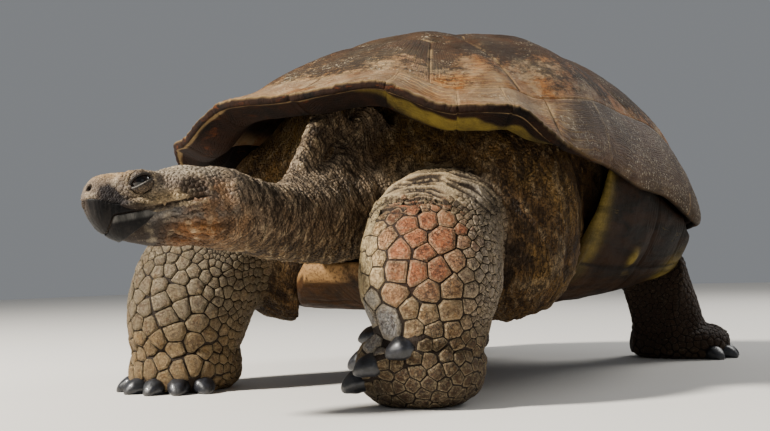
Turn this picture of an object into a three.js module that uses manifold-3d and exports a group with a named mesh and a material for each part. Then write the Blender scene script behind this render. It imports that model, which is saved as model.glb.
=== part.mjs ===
// Giant tortoise of the domed Galapagos kind, an adult male in mid step, life size.
// Millimetres, +Z up. The animal faces -Y, its left side is +X, and its feet stand on Z = 0.
// Flesh is modelled whole and parted with thin cuts. The carapace is one vaulted shell that is
// parted along the seams of its horny plates.
import * as THREE from "three";
import { mergeVertices } from "three/addons/utils/BufferGeometryUtils.js";
import Module from "manifold-3d";

const wasm = await Module();
wasm.setup();

// ---------- driving dimensions ----------
const SHELL_LENGTH = 1050; // straight carapace length
const SHELL_WIDTH = 878;
const SHELL_MIDDLE_Y = -38;
const APEX_Z = 682; // top of the vault above the floor
const APEX_Y = -31;
const PLASTRON_Z = 134; // lowest point of the belly plate
const PLATE_THICKNESS = 16; // bone and horn together
const RIM_THICKNESS = 15; // at the free edge of the carapace
const RIM_SWELL = 34; // how much the marginals thicken behind that edge
const SEAM_WIDTH = 1.2;
const SHELL_CLEARANCE = 7; // between the rim and the flesh inside it
const VAULT_CLEARANCE = 12; // and under the rest of the vault
const GAP = 0.4; // across every thin cut
const HEAD_LENGTH = 220;
const HEAD_YAW = 33; // degrees, towards the animal's right
const HEAD_PITCH = 3; // degrees, nose down
const NAPE = new THREE.Vector3(26, -742, 320);
const EYE_RADIUS = 15;
const CLAW_LENGTH = 52;
const RIGHT = Math.PI / 2;
const BLOCK = 900; // cutting blocks are larger than any part they cut

const MATERIALS = {
  horn: finish(0x6b4f35, 0.55),
  belly: finish(0x7c6238, 0.6),
  skin: finish(0x574a3c, 0.85),
  limb: finish(0x8a7458, 0.85),
  beak: finish(0x2e2b2a, 0.45),
  claw: finish(0x27272b, 0.4),
  eye: finish(0x0d0a08, 0.1),
};

function finish(color, roughness) {
  return new THREE.MeshStandardMaterial({ color, roughness, metalness: 0 });
}

// ---------- small tools ----------
const vec = (x, y, z) => new THREE.Vector3(x, y, z);
const degrees = THREE.MathUtils.degToRad;
const between = (x, low, high) => THREE.MathUtils.smoothstep(x, low, high);
const signedPower = (x, power) => Math.sign(x) * Math.abs(x) ** power;

// A smooth graph through [place, value] pairs, flat beyond both ends.
function graph(...pairs) {
  const slope = pairs.map((p, i) => {
    const before = pairs[Math.max(i - 1, 0)];
    const after = pairs[Math.min(i + 1, pairs.length - 1)];
    return (after[1] - before[1]) / (after[0] - before[0]);
  });
  return (x) => {
    if (x <= pairs[0][0]) return pairs[0][1];
    if (x >= pairs.at(-1)[0]) return pairs.at(-1)[1];
    const i = pairs.findIndex((p) => p[0] > x) - 1;
    const [x0, y0] = pairs[i];
    const [x1, y1] = pairs[i + 1];
    const step = x1 - x0;
    const t = (x - x0) / step;
    return (
      y0 * (1 + 2 * t) * (1 - t) ** 2 +
      slope[i] * step * t * (1 - t) ** 2 +
      y1 * t * t * (3 - 2 * t) +
      slope[i + 1] * step * t * t * (t - 1)
    );
  };
}

// Moves every vertex of a three.js geometry and returns the geometry.
function mapped(geometry, place) {
  const position = geometry.getAttribute("position");
  const point = new THREE.Vector3();
  for (let i = 0; i < position.count; i++) {
    point.fromBufferAttribute(position, i);
    position.setXYZ(i, ...place(point).toArray());
  }
  return geometry;
}

// A closed geometry as a solid. Faces are turned outwards if the mapping mirrored them.
function solid(geometry) {
  const bare = geometry.clone();
  for (const name of Object.keys(bare.attributes)) {
    if (name !== "position") bare.deleteAttribute(name);
  }
  const merged = mergeVertices(bare, 1e-3);
  const triVerts = new Uint32Array(merged.index.array);
  const build = () => {
    const vertProperties = merged.attributes.position.array;
    return new wasm.Manifold(new wasm.Mesh({ numProp: 3, vertProperties, triVerts }));
  };
  const made = build();
  if (made.volume() > 0) return made;
  for (let i = 0; i < triVerts.length; i += 3) {
    [triVerts[i + 1], triVerts[i + 2]] = [triVerts[i + 2], triVerts[i + 1]];
  }
  return build();
}

function toGeometry(manifold) {
  const mesh = manifold.getMesh();
  const geometry = new THREE.BufferGeometry();
  geometry.setAttribute("position", new THREE.BufferAttribute(mesh.vertProperties, 3));
  geometry.setIndex(new THREE.BufferAttribute(mesh.triVerts, 1));
  geometry.computeVertexNormals();
  return geometry;
}

const joined = (solids) => solids.reduce((whole, next) => whole.add(next));
const largest = (manifold) =>
  manifold.decompose().reduce((a, b) => (a.volume() > b.volume() ? a : b));

// A rounded body along a smooth curve. section(t) gives [half width, half height, squareness].
// Width runs along `across`, which is kept square to the curve.
function limb({ spine, across, section, around = 10, along = 9, cap = 0.16 }) {
  const curve = curveThrough(spine);
  return solid(
    mapped(new THREE.SphereGeometry(1, around, along), (p) => {
      const t = Math.acos(THREE.MathUtils.clamp(p.y, -1, 1)) / Math.PI;
      const end = Math.max(0, (Math.abs(2 * t - 1) - 1 + 2 * cap) / (2 * cap));
      const round = Math.sqrt(Math.max(0, 1 - end * end));
      const angle = Math.atan2(p.z, p.x);
      const tangent = curve.getTangentAt(t);
      const side = vec(...across).addScaledVector(tangent, -tangent.dot(vec(...across)));
      side.normalize();
      const up = side.clone().cross(tangent);
      const [width, height, squareness] = section(t);
      return curve
        .getPointAt(t)
        .addScaledVector(side, round * width * signedPower(Math.cos(angle), 2 / squareness))
        .addScaledVector(up, round * height * signedPower(Math.sin(angle), 2 / squareness));
    }),
  );
}

function ellipsoid([x, y, z], [a, b, c], squareness = 2, around = 24, along = 14) {
  const power = 2 / squareness;
  return solid(
    mapped(new THREE.SphereGeometry(1, around, along), (p) =>
      vec(
        x + a * signedPower(p.x, power),
        y + b * signedPower(p.y, power),
        z + c * signedPower(p.z, power),
      ),
    ),
  );
}

// A large block with one face through `point`, on the side that `normal` points to.
function beyond(point, normal, shift = 0) {
  const heading = normal.clone().normalize();
  const turn = new THREE.Quaternion().setFromUnitVectors(vec(0, 0, 1), heading);
  const block = new THREE.BoxGeometry(BLOCK, BLOCK, BLOCK).translate(0, 0, BLOCK / 2 + shift);
  return solid(block.applyQuaternion(turn).translate(...point.toArray()));
}

// ---------- carapace ----------
// A place on the vault is (bearing, reach): bearing 0 is the front and 90 degrees the left side;
// reach runs from 0 at the apex to 1 at the free edge. Graphs go by bearing, in degrees.
const marginSquareness = graph([0, 2.8], [90, 3.9], [180, 2.2]);
const marginHeight = graph(
  [0, 498],
  [14, 500],
  [28, 454],
  [40, 450],
  [50, 444],
  [60, 408],
  [72, 386],
  [84, 368],
  [100, 306],
  [120, 286],
  [150, 264],
  [180, 246],
);
const edgeLean = graph([0, 58], [40, 64], [60, 80], [78, 96], [122, 98], [148, 84], [180, 74]);
const vaultPower = graph([0, 1.28], [45, 1.48], [90, 1.25], [130, 1.7], [180, 1.25]);
const rimFlare = graph([0, 14], [50, 16], [80, 2], [115, 2], [145, 16], [180, 10]);
const freeRim = graph([0, 1], [55, 1], [78, 0.25], [112, 0.25], [140, 1], [180, 1]);
const marginalReach = graph([0, 0.78], [45, 0.76], [90, 0.66], [135, 0.7], [180, 0.76]);

const turnOf = (bearing) =>
  Math.abs(THREE.MathUtils.radToDeg(Math.atan2(Math.sin(bearing), Math.cos(bearing))));

// The wall leans over along each profile like a cap of a ball, by `edgeLean` at its edge.
function vaultPoint(bearing, reach) {
  const turn = turnOf(bearing);
  const power = 2 / marginSquareness(turn);
  const fullLean = degrees(edgeLean(turn));
  const lean = reach * fullLean;
  const out = Math.sin(lean) / Math.sin(Math.min(fullLean, RIGHT));
  const share = (Math.cos(lean) - Math.cos(fullLean)) / (1 - Math.cos(fullLean));
  const rise = signedPower(share, vaultPower(turn));
  const edgeX = (SHELL_WIDTH / 2) * signedPower(Math.sin(bearing), power);
  const edgeY = SHELL_MIDDLE_Y - (SHELL_LENGTH / 2) * signedPower(Math.cos(bearing), power);
  const edgeZ = marginHeight(turn);
  const flare = rimFlare(turn) * between(reach, 0.7, 1) ** 2;
  return vec(
    edgeX * out,
    APEX_Y + (edgeY - APEX_Y) * out,
    edgeZ + (APEX_Z - edgeZ) * rise + flare,
  );
}

function vaultNormal(bearing, reach) {
  const step = 0.01;
  const inner = Math.max(reach, 0.02);
  const along = vaultPoint(bearing, inner + step).sub(vaultPoint(bearing, inner - step));
  const round = vaultPoint(bearing + step, inner).sub(vaultPoint(bearing - step, inner));
  return along.cross(round).normalize();
}

function shellThickness(bearing, reach) {
  const turn = turnOf(bearing);
  const seam = marginalReach(turn);
  const swell = between(reach, seam - 0.08, seam + 0.1) * (1 - between(reach, seam + 0.1, 1));
  const base = THREE.MathUtils.lerp(PLATE_THICKNESS, RIM_THICKNESS, between(reach, 0.8, 1));
  return base + RIM_SWELL * freeRim(turn) * swell;
}

// depth 0 is the outer face and 1 the inner face; `grow` moves both faces outwards from the wall.
function shellPoint(bearing, reach, depth, grow = 0) {
  const inwards = depth * (shellThickness(bearing, reach) + 2 * grow) - grow;
  return vaultPoint(bearing, reach).addScaledVector(vaultNormal(bearing, reach), -inwards);
}

// ---------- plates of the carapace ----------
// Plates are drawn on a chart of the vault: [left, back], with the free edge at distance 1.
// Stations count the facets round the marginal seam from the front to the tail on either side,
// so that plates which meet there share their corners.
const STATIONS = [
  0, 8, 16, 24, 31.5, 39, 46.5, 54, 63, 72, 81, 90,
  99, 108, 117, 126, 133.5, 141, 148.5, 156, 164, 172, 180,
];
const TAIL_STATION = STATIONS.length - 1;
const CORNERS = [3, 7, 11, 15, 19]; // stations where costal seams reach the marginals
const MARGINAL_GROUPS = [
  ["marginals_front", 0, 7],
  ["marginals_side", 7, 14],
  ["marginals_rear", 14, 21],
];
const CROSS_SEAMS = [-0.4, -0.13, 0.14, 0.42]; // between vertebral plates, front to back
const MID_PLATES = [-0.27, 0, 0.28]; // widest places of vertebrals 2 to 4
const SEAM_HALF = 0.15;
const PLATE_HALF = 0.235;
const LONG_STEPS = 4; // facets along the end costals
const SHORT_STEPS = 2; // and along each half of the middle ones
const ROWS = 3; // facets from a vertebral out to the marginal seam

function bearingAt(station) {
  if (station < 0) return -bearingAt(-station);
  if (station > TAIL_STATION) return 360 - bearingAt(2 * TAIL_STATION - station);
  const i = Math.min(Math.floor(station), TAIL_STATION - 1);
  return THREE.MathUtils.lerp(STATIONS[i], STATIONS[i + 1], station - i);
}

// The chart point at a station, for share 0 at the marginal seam to 1 at the free edge.
function atStation(station, share = 0) {
  const bearing = degrees(bearingAt(station));
  const reach = THREE.MathUtils.lerp(marginalReach(turnOf(bearing)), 1, share);
  return [reach * Math.sin(bearing), -reach * Math.cos(bearing)];
}

const charted = ([left, back]) => [Math.atan2(left, -back), Math.hypot(left, back)];
const blend = (a, b, t) => a.map((value, i) => THREE.MathUtils.lerp(value, b[i], t));
const stretch = (a, b, steps) => Array.from({ length: steps }, (_, i) => blend(a, b, i / steps));

// A place at share t of a chain of points.
function alongChain(chain, t) {
  const place = THREE.MathUtils.clamp(t, 0, 1) * (chain.length - 1);
  const i = Math.min(Math.floor(place), chain.length - 2);
  return blend(chain[i], chain[i + 1], place - i);
}

// Gives the two sides of a box that face the plates after it the same diagonals as those plates.
function matchDiagonals(box) {
  const corners = box.index.array;
  for (const side of [0, 2]) {
    const { start, count } = box.groups[side];
    for (let i = start; i < start + count; i += 6) {
      const [a, b, d, , c] = corners.slice(i, i + 6);
      corners.set([a, b, c, a, c, d], i);
    }
  }
  return box;
}

// A plate of the wall. chart(u, v) covers it for u and v from 0 to 1, and steps are its facets.
// Its edges are drawn in by half a seam.
function plate({ chart, steps }) {
  const place = (u, v, depth) => shellPoint(...charted(chart(u, v)), depth);
  const step = 1e-3;
  const edge = (share, length) => {
    if (share < 0.001) return SEAM_WIDTH / 2 / length;
    return share > 0.999 ? 1 - SEAM_WIDTH / 2 / length : share;
  };
  return solid(
    mapped(matchDiagonals(new THREE.BoxGeometry(1, 1, 1, ...steps, 1)), (p) => {
      const u = p.x + 0.5;
      const v = p.y + 0.5;
      const here = place(u, v, 0);
      const lengthU = here.distanceTo(place(u > 0.5 ? u - step : u + step, v, 0)) / step;
      const lengthV = here.distanceTo(place(u, v > 0.5 ? v - step : v + step, 0)) / step;
      return place(edge(u, lengthU), edge(v, lengthV), p.z + 0.5);
    }),
  );
}

// The whole wall in one and a little thicker, to cut what lies inside it: a lathe profile that
// runs down the outer face and back up the inner.
const WALL_SHARES = [0, 0.5, 1, 1.5, 2]; // 1 is the marginal seam and 2 the free edge
function shellWall() {
  const down = WALL_SHARES.map((share) => new THREE.Vector2(share, 0));
  const up = [...WALL_SHARES].reverse().map((share) => new THREE.Vector2(share, -1));
  return solid(
    mapped(new THREE.LatheGeometry([...down, ...up], 2 * TAIL_STATION), (p) => {
      const share = Math.hypot(p.x, p.z);
      const bearing = degrees(bearingAt((Math.atan2(p.x, p.z) / Math.PI) * TAIL_STATION));
      const seam = marginalReach(turnOf(bearing));
      const reach = share < 1 ? share * seam : THREE.MathUtils.lerp(seam, 1, share - 1);
      const clearance = share < 0.99 ? VAULT_CLEARANCE : SHELL_CLEARANCE;
      const drop = share > 1.99 ? SHELL_CLEARANCE : 0;
      return shellPoint(bearing, reach, -p.y, clearance).sub(vec(0, 0, drop));
    }),
  );
}

function marginals(from, to) {
  const chart = (u, v) => atStation(THREE.MathUtils.lerp(from, to, u), v);
  return { chart, steps: [Math.abs(to - from), 2] };
}

// A costal plate lies between a chain at the vertebrals and a stretch of the marginal seam.
function costal(side, from, to, chain) {
  const inner = chain.map(([left, back]) => [side * left, back]);
  const chart = (u, v) =>
    blend(alongChain(inner, u), atStation(side * THREE.MathUtils.lerp(from, to, u)), v);
  return { chart, steps: [to - from, ROWS] };
}

// A vertebral plate lies between its left and right chains, which mirror each other.
function vertebral(chain) {
  const chart = (u, v) => {
    const [left, back] = alongChain(chain, v);
    return [left * (2 * u - 1), back];
  };
  return { chart, steps: [2 * CORNERS[0], chain.length - 1] };
}

// The first and last vertebrals also meet the marginals.
function endVertebral(from, to, crossSeam) {
  const chart = (u, v) =>
    blend(atStation(THREE.MathUtils.lerp(from, to, u)), [SEAM_HALF * (2 * u - 1), crossSeam], v);
  return { chart, steps: [Math.abs(to - from), ROWS] };
}

function carapacePlates() {
  const waist = CROSS_SEAMS.map((back) => [SEAM_HALF, back]);
  const hips = MID_PLATES.map((back) => [PLATE_HALF, back]);
  const out = waist.slice(0, 3).map((a, i) => stretch(a, hips[i], i ? SHORT_STEPS : LONG_STEPS));
  const back = hips.map((a, i) => stretch(a, waist[i + 1], i < 2 ? SHORT_STEPS : LONG_STEPS));
  const plates = {
    vertebral_1: endVertebral(-CORNERS[0], CORNERS[0], CROSS_SEAMS[0]),
    vertebral_5: endVertebral(2 * TAIL_STATION - CORNERS[4], CORNERS[4], CROSS_SEAMS[3]),
    marginal_tail: marginals(TAIL_STATION - 1, TAIL_STATION + 1),
  };
  hips.forEach((_, i) => {
    plates[`vertebral_${i + 2}`] = vertebral([...out[i], ...back[i], waist[i + 1]]);
  });
  for (const [name, side] of [["left", 1], ["right", -1]]) {
    const chains = [
      [waist[0], hips[0]],
      [hips[0], waist[1], hips[1]],
      [hips[1], waist[2], hips[2]],
      [hips[2], waist[3]],
    ];
    chains.forEach((chain, i) => {
      plates[`costal_${name}_${i + 1}`] = costal(side, CORNERS[i], CORNERS[i + 1], chain);
    });
    for (const [group, from, to] of MARGINAL_GROUPS) {
      plates[`${group}_${name}`] = marginals(side * from, side * to);
    }
  }
  return plates;
}

// ---------- plastron ----------
// The belly plate with the bridges that rise at its sides. Its graphs go by y, or by distance
// from the midline.
const PLASTRON_OUTLINE = [
  [-452, 62],
  [-415, 112],
  [-310, 190],
  [-235, 300],
  [-206, 385],
  [-172, 415],
  [20, 416],
  [215, 408],
  [300, 392],
  [345, 345],
  [372, 235],
  [408, 95],
];
const plastronKeel = graph([-452, 196], [-370, 152], [-200, PLASTRON_Z], [120, 138], [405, 172]);
const bridgeProfile = graph(
  [0, 0],
  [180, 5],
  [270, 20],
  [322, 42],
  [365, 92],
  [394, 150],
  [408, 200],
  [416, 240],
);
const bridgeHeight = graph([-206, 1.1], [20, 0.92], [215, 0.8], [345, 0.72]);
const plastronThickness = graph([-452, 40], [-370, 30], [-230, 18], [405, 18]);

function plastronSolid(grow = 0) {
  const stations = PLASTRON_OUTLINE.length - 1;
  return solid(
    mapped(new THREE.BoxGeometry(2, 2, 1, 10, stations, 1), (p) => {
      const [y, half] = alongChain(PLASTRON_OUTLINE, (p.y + 1) / 2);
      const x = p.x * (half + grow);
      const away = Math.abs(x);
      const thickness = plastronThickness(y) + 2 * grow;
      const slope = (bridgeHeight(y) * (bridgeProfile(away + 5) - bridgeProfile(away - 5))) / 10;
      const normal = vec(-Math.sign(x) * slope, 0, 1).normalize();
      const bottom = plastronKeel(y) + bridgeHeight(y) * bridgeProfile(away);
      const end = Math.abs(p.y) > 0.999 ? Math.sign(p.y) * grow : 0;
      return vec(x, y + end, bottom).addScaledVector(normal, (p.z + 0.5) * thickness - grow);
    }),
  );
}

// ---------- flesh ----------
function trunkFlesh() {
  const body = ellipsoid([0, -5, 378], [368, 385, 236], 2.7, 14, 8);
  const collar = ellipsoid([6, -325, 362], [205, 112, 124], 2.2, 12, 6);
  const bags = [1, -1].flatMap((side) => [
    ellipsoid([side * 225, -268, 298], [150, 142, 182], 2.3, 12, 7), // at the shoulders
    ellipsoid([side * 212, 297, 268], [118, 109, 97], 2.2, 10, 6), // above the thighs
  ]);
  return joined([body, collar, ...bags]);
}

// Each leg is a limb with a foot. `section` rows are [share along, half width, half depth] and
// `root` is the share of the spine where the leg leaves the trunk.
const HIND_SECTION = [[0, 96, 100], [0.4, 84, 88], [0.6, 76, 80], [0.8, 78, 82], [1, 86, 84]];
const LEGS = {
  front_left: {
    spine: [
      [170, -235, 320],
      [196, -375, 296],
      [213, -462, 252],
      [226, -496, 188],
      [232, -508, 112],
      [220, -512, 40],
    ],
    across: [0.83, 0.56, 0],
    section: [[0, 92, 90], [0.35, 104, 96], [0.55, 115, 108], [0.7, 115, 106], [0.84, 92, 88], [1, 84, 80]],
    root: 0.36,
    foot: { centre: [214, -514, 60], semi: [104, 92, 72] },
  },
  front_right: {
    spine: [
      [-180, -235, 320],
      [-272, -360, 282],
      [-318, -440, 214],
      [-326, -474, 140],
      [-328, -480, 30],
    ],
    across: [0.83, 0.56, 0],
    section: [[0, 92, 92], [0.35, 104, 98], [0.55, 118, 108], [0.75, 116, 106], [0.9, 104, 98], [1, 96, 92]],
    root: 0.34,
    foot: { centre: [-328, -484, 34], semi: [102, 100, 50] },
  },
  hind_left: {
    spine: [
      [200, 258, 290],
      [260, 350, 222],
      [280, 396, 148],
      [288, 420, 84],
      [290, 428, 20],
    ],
    across: [0.83, 0.56, 0],
    section: HIND_SECTION,
    root: 0.3,
    foot: { centre: [310, 440, 34], semi: [110, 84, 52] },
  },
  hind_right: {
    spine: [
      [-200, 258, 290],
      [-254, 348, 222],
      [-268, 394, 148],
      [-272, 414, 84],
      [-274, 420, 20],
    ],
    across: [0.9, -0.44, 0],
    section: HIND_SECTION,
    root: 0.3,
    foot: { centre: [-282, 416, 34], semi: [90, 104, 52] },
  },
};

const curveThrough = (spine) =>
  new THREE.CatmullRomCurve3(spine.map((p) => vec(...p)), false, "centripetal");

// The end of a limb from a share of its spine onwards.
function endOf(flesh, spine, share, shift = 0) {
  const curve = curveThrough(spine);
  return flesh.intersect(beyond(curve.getPointAt(share), curve.getTangentAt(share), shift));
}

function legFlesh({ spine, across, section, foot }, grow = 0) {
  const width = graph(...section.map(([t, w]) => [t, w + grow]));
  const depth = graph(...section.map(([t, , d]) => [t, d + grow]));
  const shaft = limb({ spine, across, section: (t) => [width(t), depth(t), 2.3], cap: 0.1 });
  return shaft.add(ellipsoid(foot.centre, foot.semi.map((s) => s + grow), 2.3, 12, 6));
}

const NECK = [
  [8, -290, 350],
  [14, -420, 318],
  [20, -540, 294],
  [28, -650, 294],
  [24, -775, 314],
];
const NECK_ROOT = 0.34;
const neckWidth = graph([0, 128], [0.3, 92], [0.6, 62], [1, 55]);
const neckDepth = graph([0, 118], [0.3, 88], [0.6, 64], [1, 59]);

function neckFlesh(grow = 0) {
  const section = (t) => [neckWidth(t) + grow, neckDepth(t) + grow, 2.2];
  return limb({ spine: NECK, across: [1, 0, 0], section, along: 8, cap: 0.05 });
}

const TAIL = [
  [0, 310, 280],
  [0, 390, 248],
  [-6, 440, 200],
  [-12, 452, 158],
];
const TAIL_ROOT = 0.42;
const tailThickness = graph([0, 62], [0.5, 40], [0.8, 24], [1, 14]);

function tailFlesh(grow = 0) {
  const section = (t) => [tailThickness(t) + grow, tailThickness(t) + grow, 2.2];
  return limb({ spine: TAIL, across: [1, 0, 0], section, around: 8, along: 8 });
}

// ---------- head ----------
// In the head's own frame a place is (share of the length from the snout, side, height).
const headTop = graph(
  [0, 26],
  [0.06, 40],
  [0.12, 48],
  [0.2, 53],
  [0.33, 53],
  [0.46, 51],
  [0.66, 60],
  [0.84, 55],
  [1, 46],
);
const headBottom = graph(
  [0, 4],
  [0.06, -14],
  [0.13, -33],
  [0.2, -44],
  [0.31, -53],
  [0.46, -59],
  [0.8, -61],
  [1, -62],
);
const headHalf = graph(
  [0, 18],
  [0.06, 27],
  [0.2, 37],
  [0.38, 46],
  [0.55, 54],
  [0.72, 61],
  [0.88, 58],
  [1, 54],
);
const HEAD_END = 1.12; // the skull runs on this far into the neck
const HEAD_PARTING = 0.97;
const MOUTH = [[0.1, -60], [0.155, -34], [0.19, -11], [0.37, -6], [0.545, 1], [0.71, 7], [0.8, 9]];
const MOUTH_GAP = 2;
const BEAK_PARTS = 5; // points of the mouth line that lie in the beak
const UPPER_BEAK = [[-0.1, 16], [0.07, 16], [0.2, 6], [0.46, 4]];
const LOWER_BEAK = [[0.1, -80], [0.36, -34], [0.46, -10]];
const EYE = [0.375, 40, 33];

const headPlacing = new THREE.Matrix4().compose(
  NAPE,
  new THREE.Quaternion().setFromEuler(
    new THREE.Euler(degrees(HEAD_PITCH), 0, degrees(-HEAD_YAW), "ZXY"),
  ),
  vec(1, 1, 1),
);
const inHead = (share, side, height) =>
  vec(side, -HEAD_LENGTH * (1 - share), height).applyMatrix4(headPlacing);

function skull(grow = 0) {
  const snoutCap = 0.1;
  const napeCap = 0.1;
  return solid(
    mapped(new THREE.SphereGeometry(1, 12, 12), (p) => {
      const polar = Math.acos(THREE.MathUtils.clamp(p.y, -1, 1)) / Math.PI;
      const fromSnout = Math.max(0, 1 - polar / snoutCap);
      const fromNape = Math.max(0, 1 - (1 - polar) / napeCap);
      const round = Math.sqrt(1 - fromSnout ** 2) * Math.sqrt(1 - fromNape ** 2);
      const share = polar * HEAD_END;
      const angle = Math.atan2(p.z, p.x);
      const middle = (headTop(share) + headBottom(share)) / 2;
      const half = (headTop(share) - headBottom(share)) / 2;
      return inHead(
        share - (grow / HEAD_LENGTH) * p.y,
        round * (headHalf(share) + grow) * signedPower(Math.cos(angle), 0.9),
        middle + round * (half + grow) * signedPower(Math.sin(angle), 0.9),
      );
    }),
  );
}

// A shape drawn on the head's side view and carried right across it.
function headSlab(points) {
  const outline = new THREE.Shape(points.map(([share, height]) => new THREE.Vector2(share, height)));
  const slab = new THREE.ExtrudeGeometry(outline, { depth: 200, bevelEnabled: false });
  return solid(mapped(slab, (p) => inHead(p.x, p.z - 100, p.y)));
}

function band(line, thickness) {
  return [
    ...line.map(([share, height]) => [share, height + thickness / 2]),
    ...[...line].reverse().map(([share, height]) => [share, height - thickness / 2]),
  ];
}

// ---------- claws ----------
// Each claw has a place for its middle, the way it points and the side that faces away from
// the sole.
function clawFan({ centre, middle, reach, count, spread }) {
  return Array.from({ length: count }, (_, i) => {
    const fan = degrees(spread * (i / (count - 1) - 0.5));
    const out = vec(...middle).normalize().applyAxisAngle(vec(0, 0, 1), fan);
    return { at: vec(...centre).addScaledVector(out, reach), out, back: vec(0, 0, 1) };
  });
}

// The left fore foot is rolled onto its outer edge, so that its toes point across the body.
const ROLLED_TOES = [
  [[236, -600, 94], [-0.66, -0.72, -0.15]],
  [[186, -614, 68], [-0.68, -0.7, -0.15]],
  [[146, -592, 40], [-0.72, -0.64, -0.2]],
  [[152, -550, 108], [-0.85, -0.5, 0.1]],
  [[108, -524, 66], [-0.93, -0.35, -0.1]],
];

const CLAWS = {
  front_left: ROLLED_TOES.map(([at, out]) => ({
    at: vec(...at),
    out: vec(...out).normalize(),
    back: vec(0.45, -0.35, 0.8),
  })),
  front_right: clawFan({
    centre: [-328, -484, 18],
    middle: [0.2, -1, -0.06],
    reach: 102,
    count: 5,
    spread: 104,
  }),
  hind_left: clawFan({
    centre: [310, 440, 18],
    middle: [1, 0.25, -0.06],
    reach: 104,
    count: 4,
    spread: 84,
  }),
  hind_right: clawFan({
    centre: [-282, 416, 18],
    middle: [-0.2, -1, -0.06],
    reach: 100,
    count: 4,
    spread: 84,
  }),
};
const CLAW_HALF_WIDTH = 20;
const CLAW_HALF_DEPTH = 17;
const CLAW_DROOP = 8;

function clawSolid({ at, out, back }, grow = 0) {
  const up = back.clone().addScaledVector(out, -back.dot(out)).normalize();
  const side = up.clone().cross(out);
  return solid(
    mapped(new THREE.SphereGeometry(1, 6, 4), (p) => {
      const tip = Math.max(0, p.y);
      const taper = 1 - 0.35 * tip;
      return at
        .clone()
        .addScaledVector(out, p.y * (CLAW_LENGTH / 2 + grow))
        .addScaledVector(side, p.x * (CLAW_HALF_WIDTH + grow) * taper)
        .addScaledVector(up, p.z * (CLAW_HALF_DEPTH + grow) * taper - CLAW_DROOP * tip ** 2);
    }),
  );
}

// ---------- assembly ----------
const tortoise = new THREE.Group();

function addPart(name, manifold, material) {
  const mesh = new THREE.Mesh(toGeometry(largest(manifold)), material);
  mesh.name = name;
  tortoise.add(mesh);
}

// Parts are cut in turn, each by what lies in front of it: claws and eyes, beak, head, neck,
// tail and legs, and the trunk last.
function buildFlesh() {
  const floor = solid(new THREE.BoxGeometry(4000, 4000, 400).translate(0, 0, -200));
  const belly = plastronSolid(2 * GAP).add(plastronSolid());
  const taken = [floor, shellWall(), belly];
  const cutBy = (manifold, cutters) =>
    cutters.reduce((rest, cutter) => rest.subtract(cutter), manifold);

  for (const [name, side] of [["left", 1], ["right", -1]]) {
    const [share, out, height] = EYE;
    const eyeball = (radius) =>
      ellipsoid(inHead(share, side * out, height).toArray(), [radius, radius, radius], 2, 8, 6);
    addPart(`eye_${name}`, eyeball(EYE_RADIUS), MATERIALS.eye);
    taken.push(eyeball(EYE_RADIUS + GAP));
  }
  for (const [foot, claws] of Object.entries(CLAWS)) {
    claws.forEach((claw, i) => {
      addPart(`claw_${foot}_${i + 1}`, clawSolid(claw).subtract(floor), MATERIALS.claw);
    });
    taken.push(joined(claws.map((claw) => clawSolid(claw, GAP))));
  }

  const mouth = headSlab(band(MOUTH, MOUTH_GAP));
  const lips = [...MOUTH.slice(0, BEAK_PARTS)].reverse();
  const upperBeak = headSlab([...UPPER_BEAK, ...lips, [-0.1, -60]]);
  const lowerBeak = headSlab([...LOWER_BEAK, ...lips]);
  const upperCut = headSlab(band([...UPPER_BEAK, [0.47, -8]], GAP));
  const lowerCut = headSlab(band([...LOWER_BEAK, [0.47, 0]], GAP));
  const facing = inHead(0, 0, 0).sub(inHead(1, 0, 0));
  const face = cutBy(skull(), [...taken, mouth]);
  const inFront = (shift) => beyond(inHead(HEAD_PARTING, 0, 0), facing, shift);
  addPart("beak_upper", face.intersect(upperBeak).subtract(upperCut), MATERIALS.beak);
  addPart("beak_lower", face.intersect(lowerBeak).subtract(lowerCut), MATERIALS.beak);
  const head = cutBy(face.intersect(inFront(0)), [upperBeak, upperCut, lowerBeak, lowerCut]);
  addPart("head", head, MATERIALS.skin);
  taken.push(skull(GAP).intersect(inFront(-GAP)));

  const neckEnd = (grow) => endOf(neckFlesh(grow).add(skull(grow)), NECK, NECK_ROOT, -grow);
  addPart("neck", cutBy(neckEnd(0), taken), MATERIALS.skin);
  taken.push(neckEnd(GAP));
  addPart("tail", cutBy(endOf(tailFlesh(), TAIL, TAIL_ROOT), taken), MATERIALS.skin);
  taken.push(endOf(tailFlesh(GAP), TAIL, TAIL_ROOT, -GAP));
  for (const [name, leg] of Object.entries(LEGS)) {
    addPart(`leg_${name}`, cutBy(endOf(legFlesh(leg), leg.spine, leg.root), taken), MATERIALS.limb);
    taken.push(endOf(legFlesh(leg, GAP), leg.spine, leg.root, -GAP));
  }
  const roots = [neckFlesh(), tailFlesh(), ...Object.values(LEGS).map((leg) => legFlesh(leg))];
  addPart("trunk", cutBy(joined([trunkFlesh(), ...roots]), taken), MATERIALS.skin);
}

for (const [name, shape] of Object.entries(carapacePlates())) {
  addPart(name, plate(shape), MATERIALS.horn);
}
addPart("plastron", plastronSolid(), MATERIALS.belly);
buildFlesh();

const footprint = new THREE.Box3().setFromObject(tortoise).getCenter(new THREE.Vector3());
tortoise.position.set(-footprint.x, -footprint.y, 0);

export default tortoise;
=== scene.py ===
# %% [markdown]
# # A giant tortoise, modelled from its construction model
# The construction model holds the true outline of the animal as plain facets: plates of the
# shell, flesh, beak, eyes and claws. This lesson makes the finished surfaces around it. Horn is
# built plate by plate with its growth rings, the flesh is one continuous skin made from a
# distance field, and the scales are small solid plates that lie on that skin.

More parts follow.
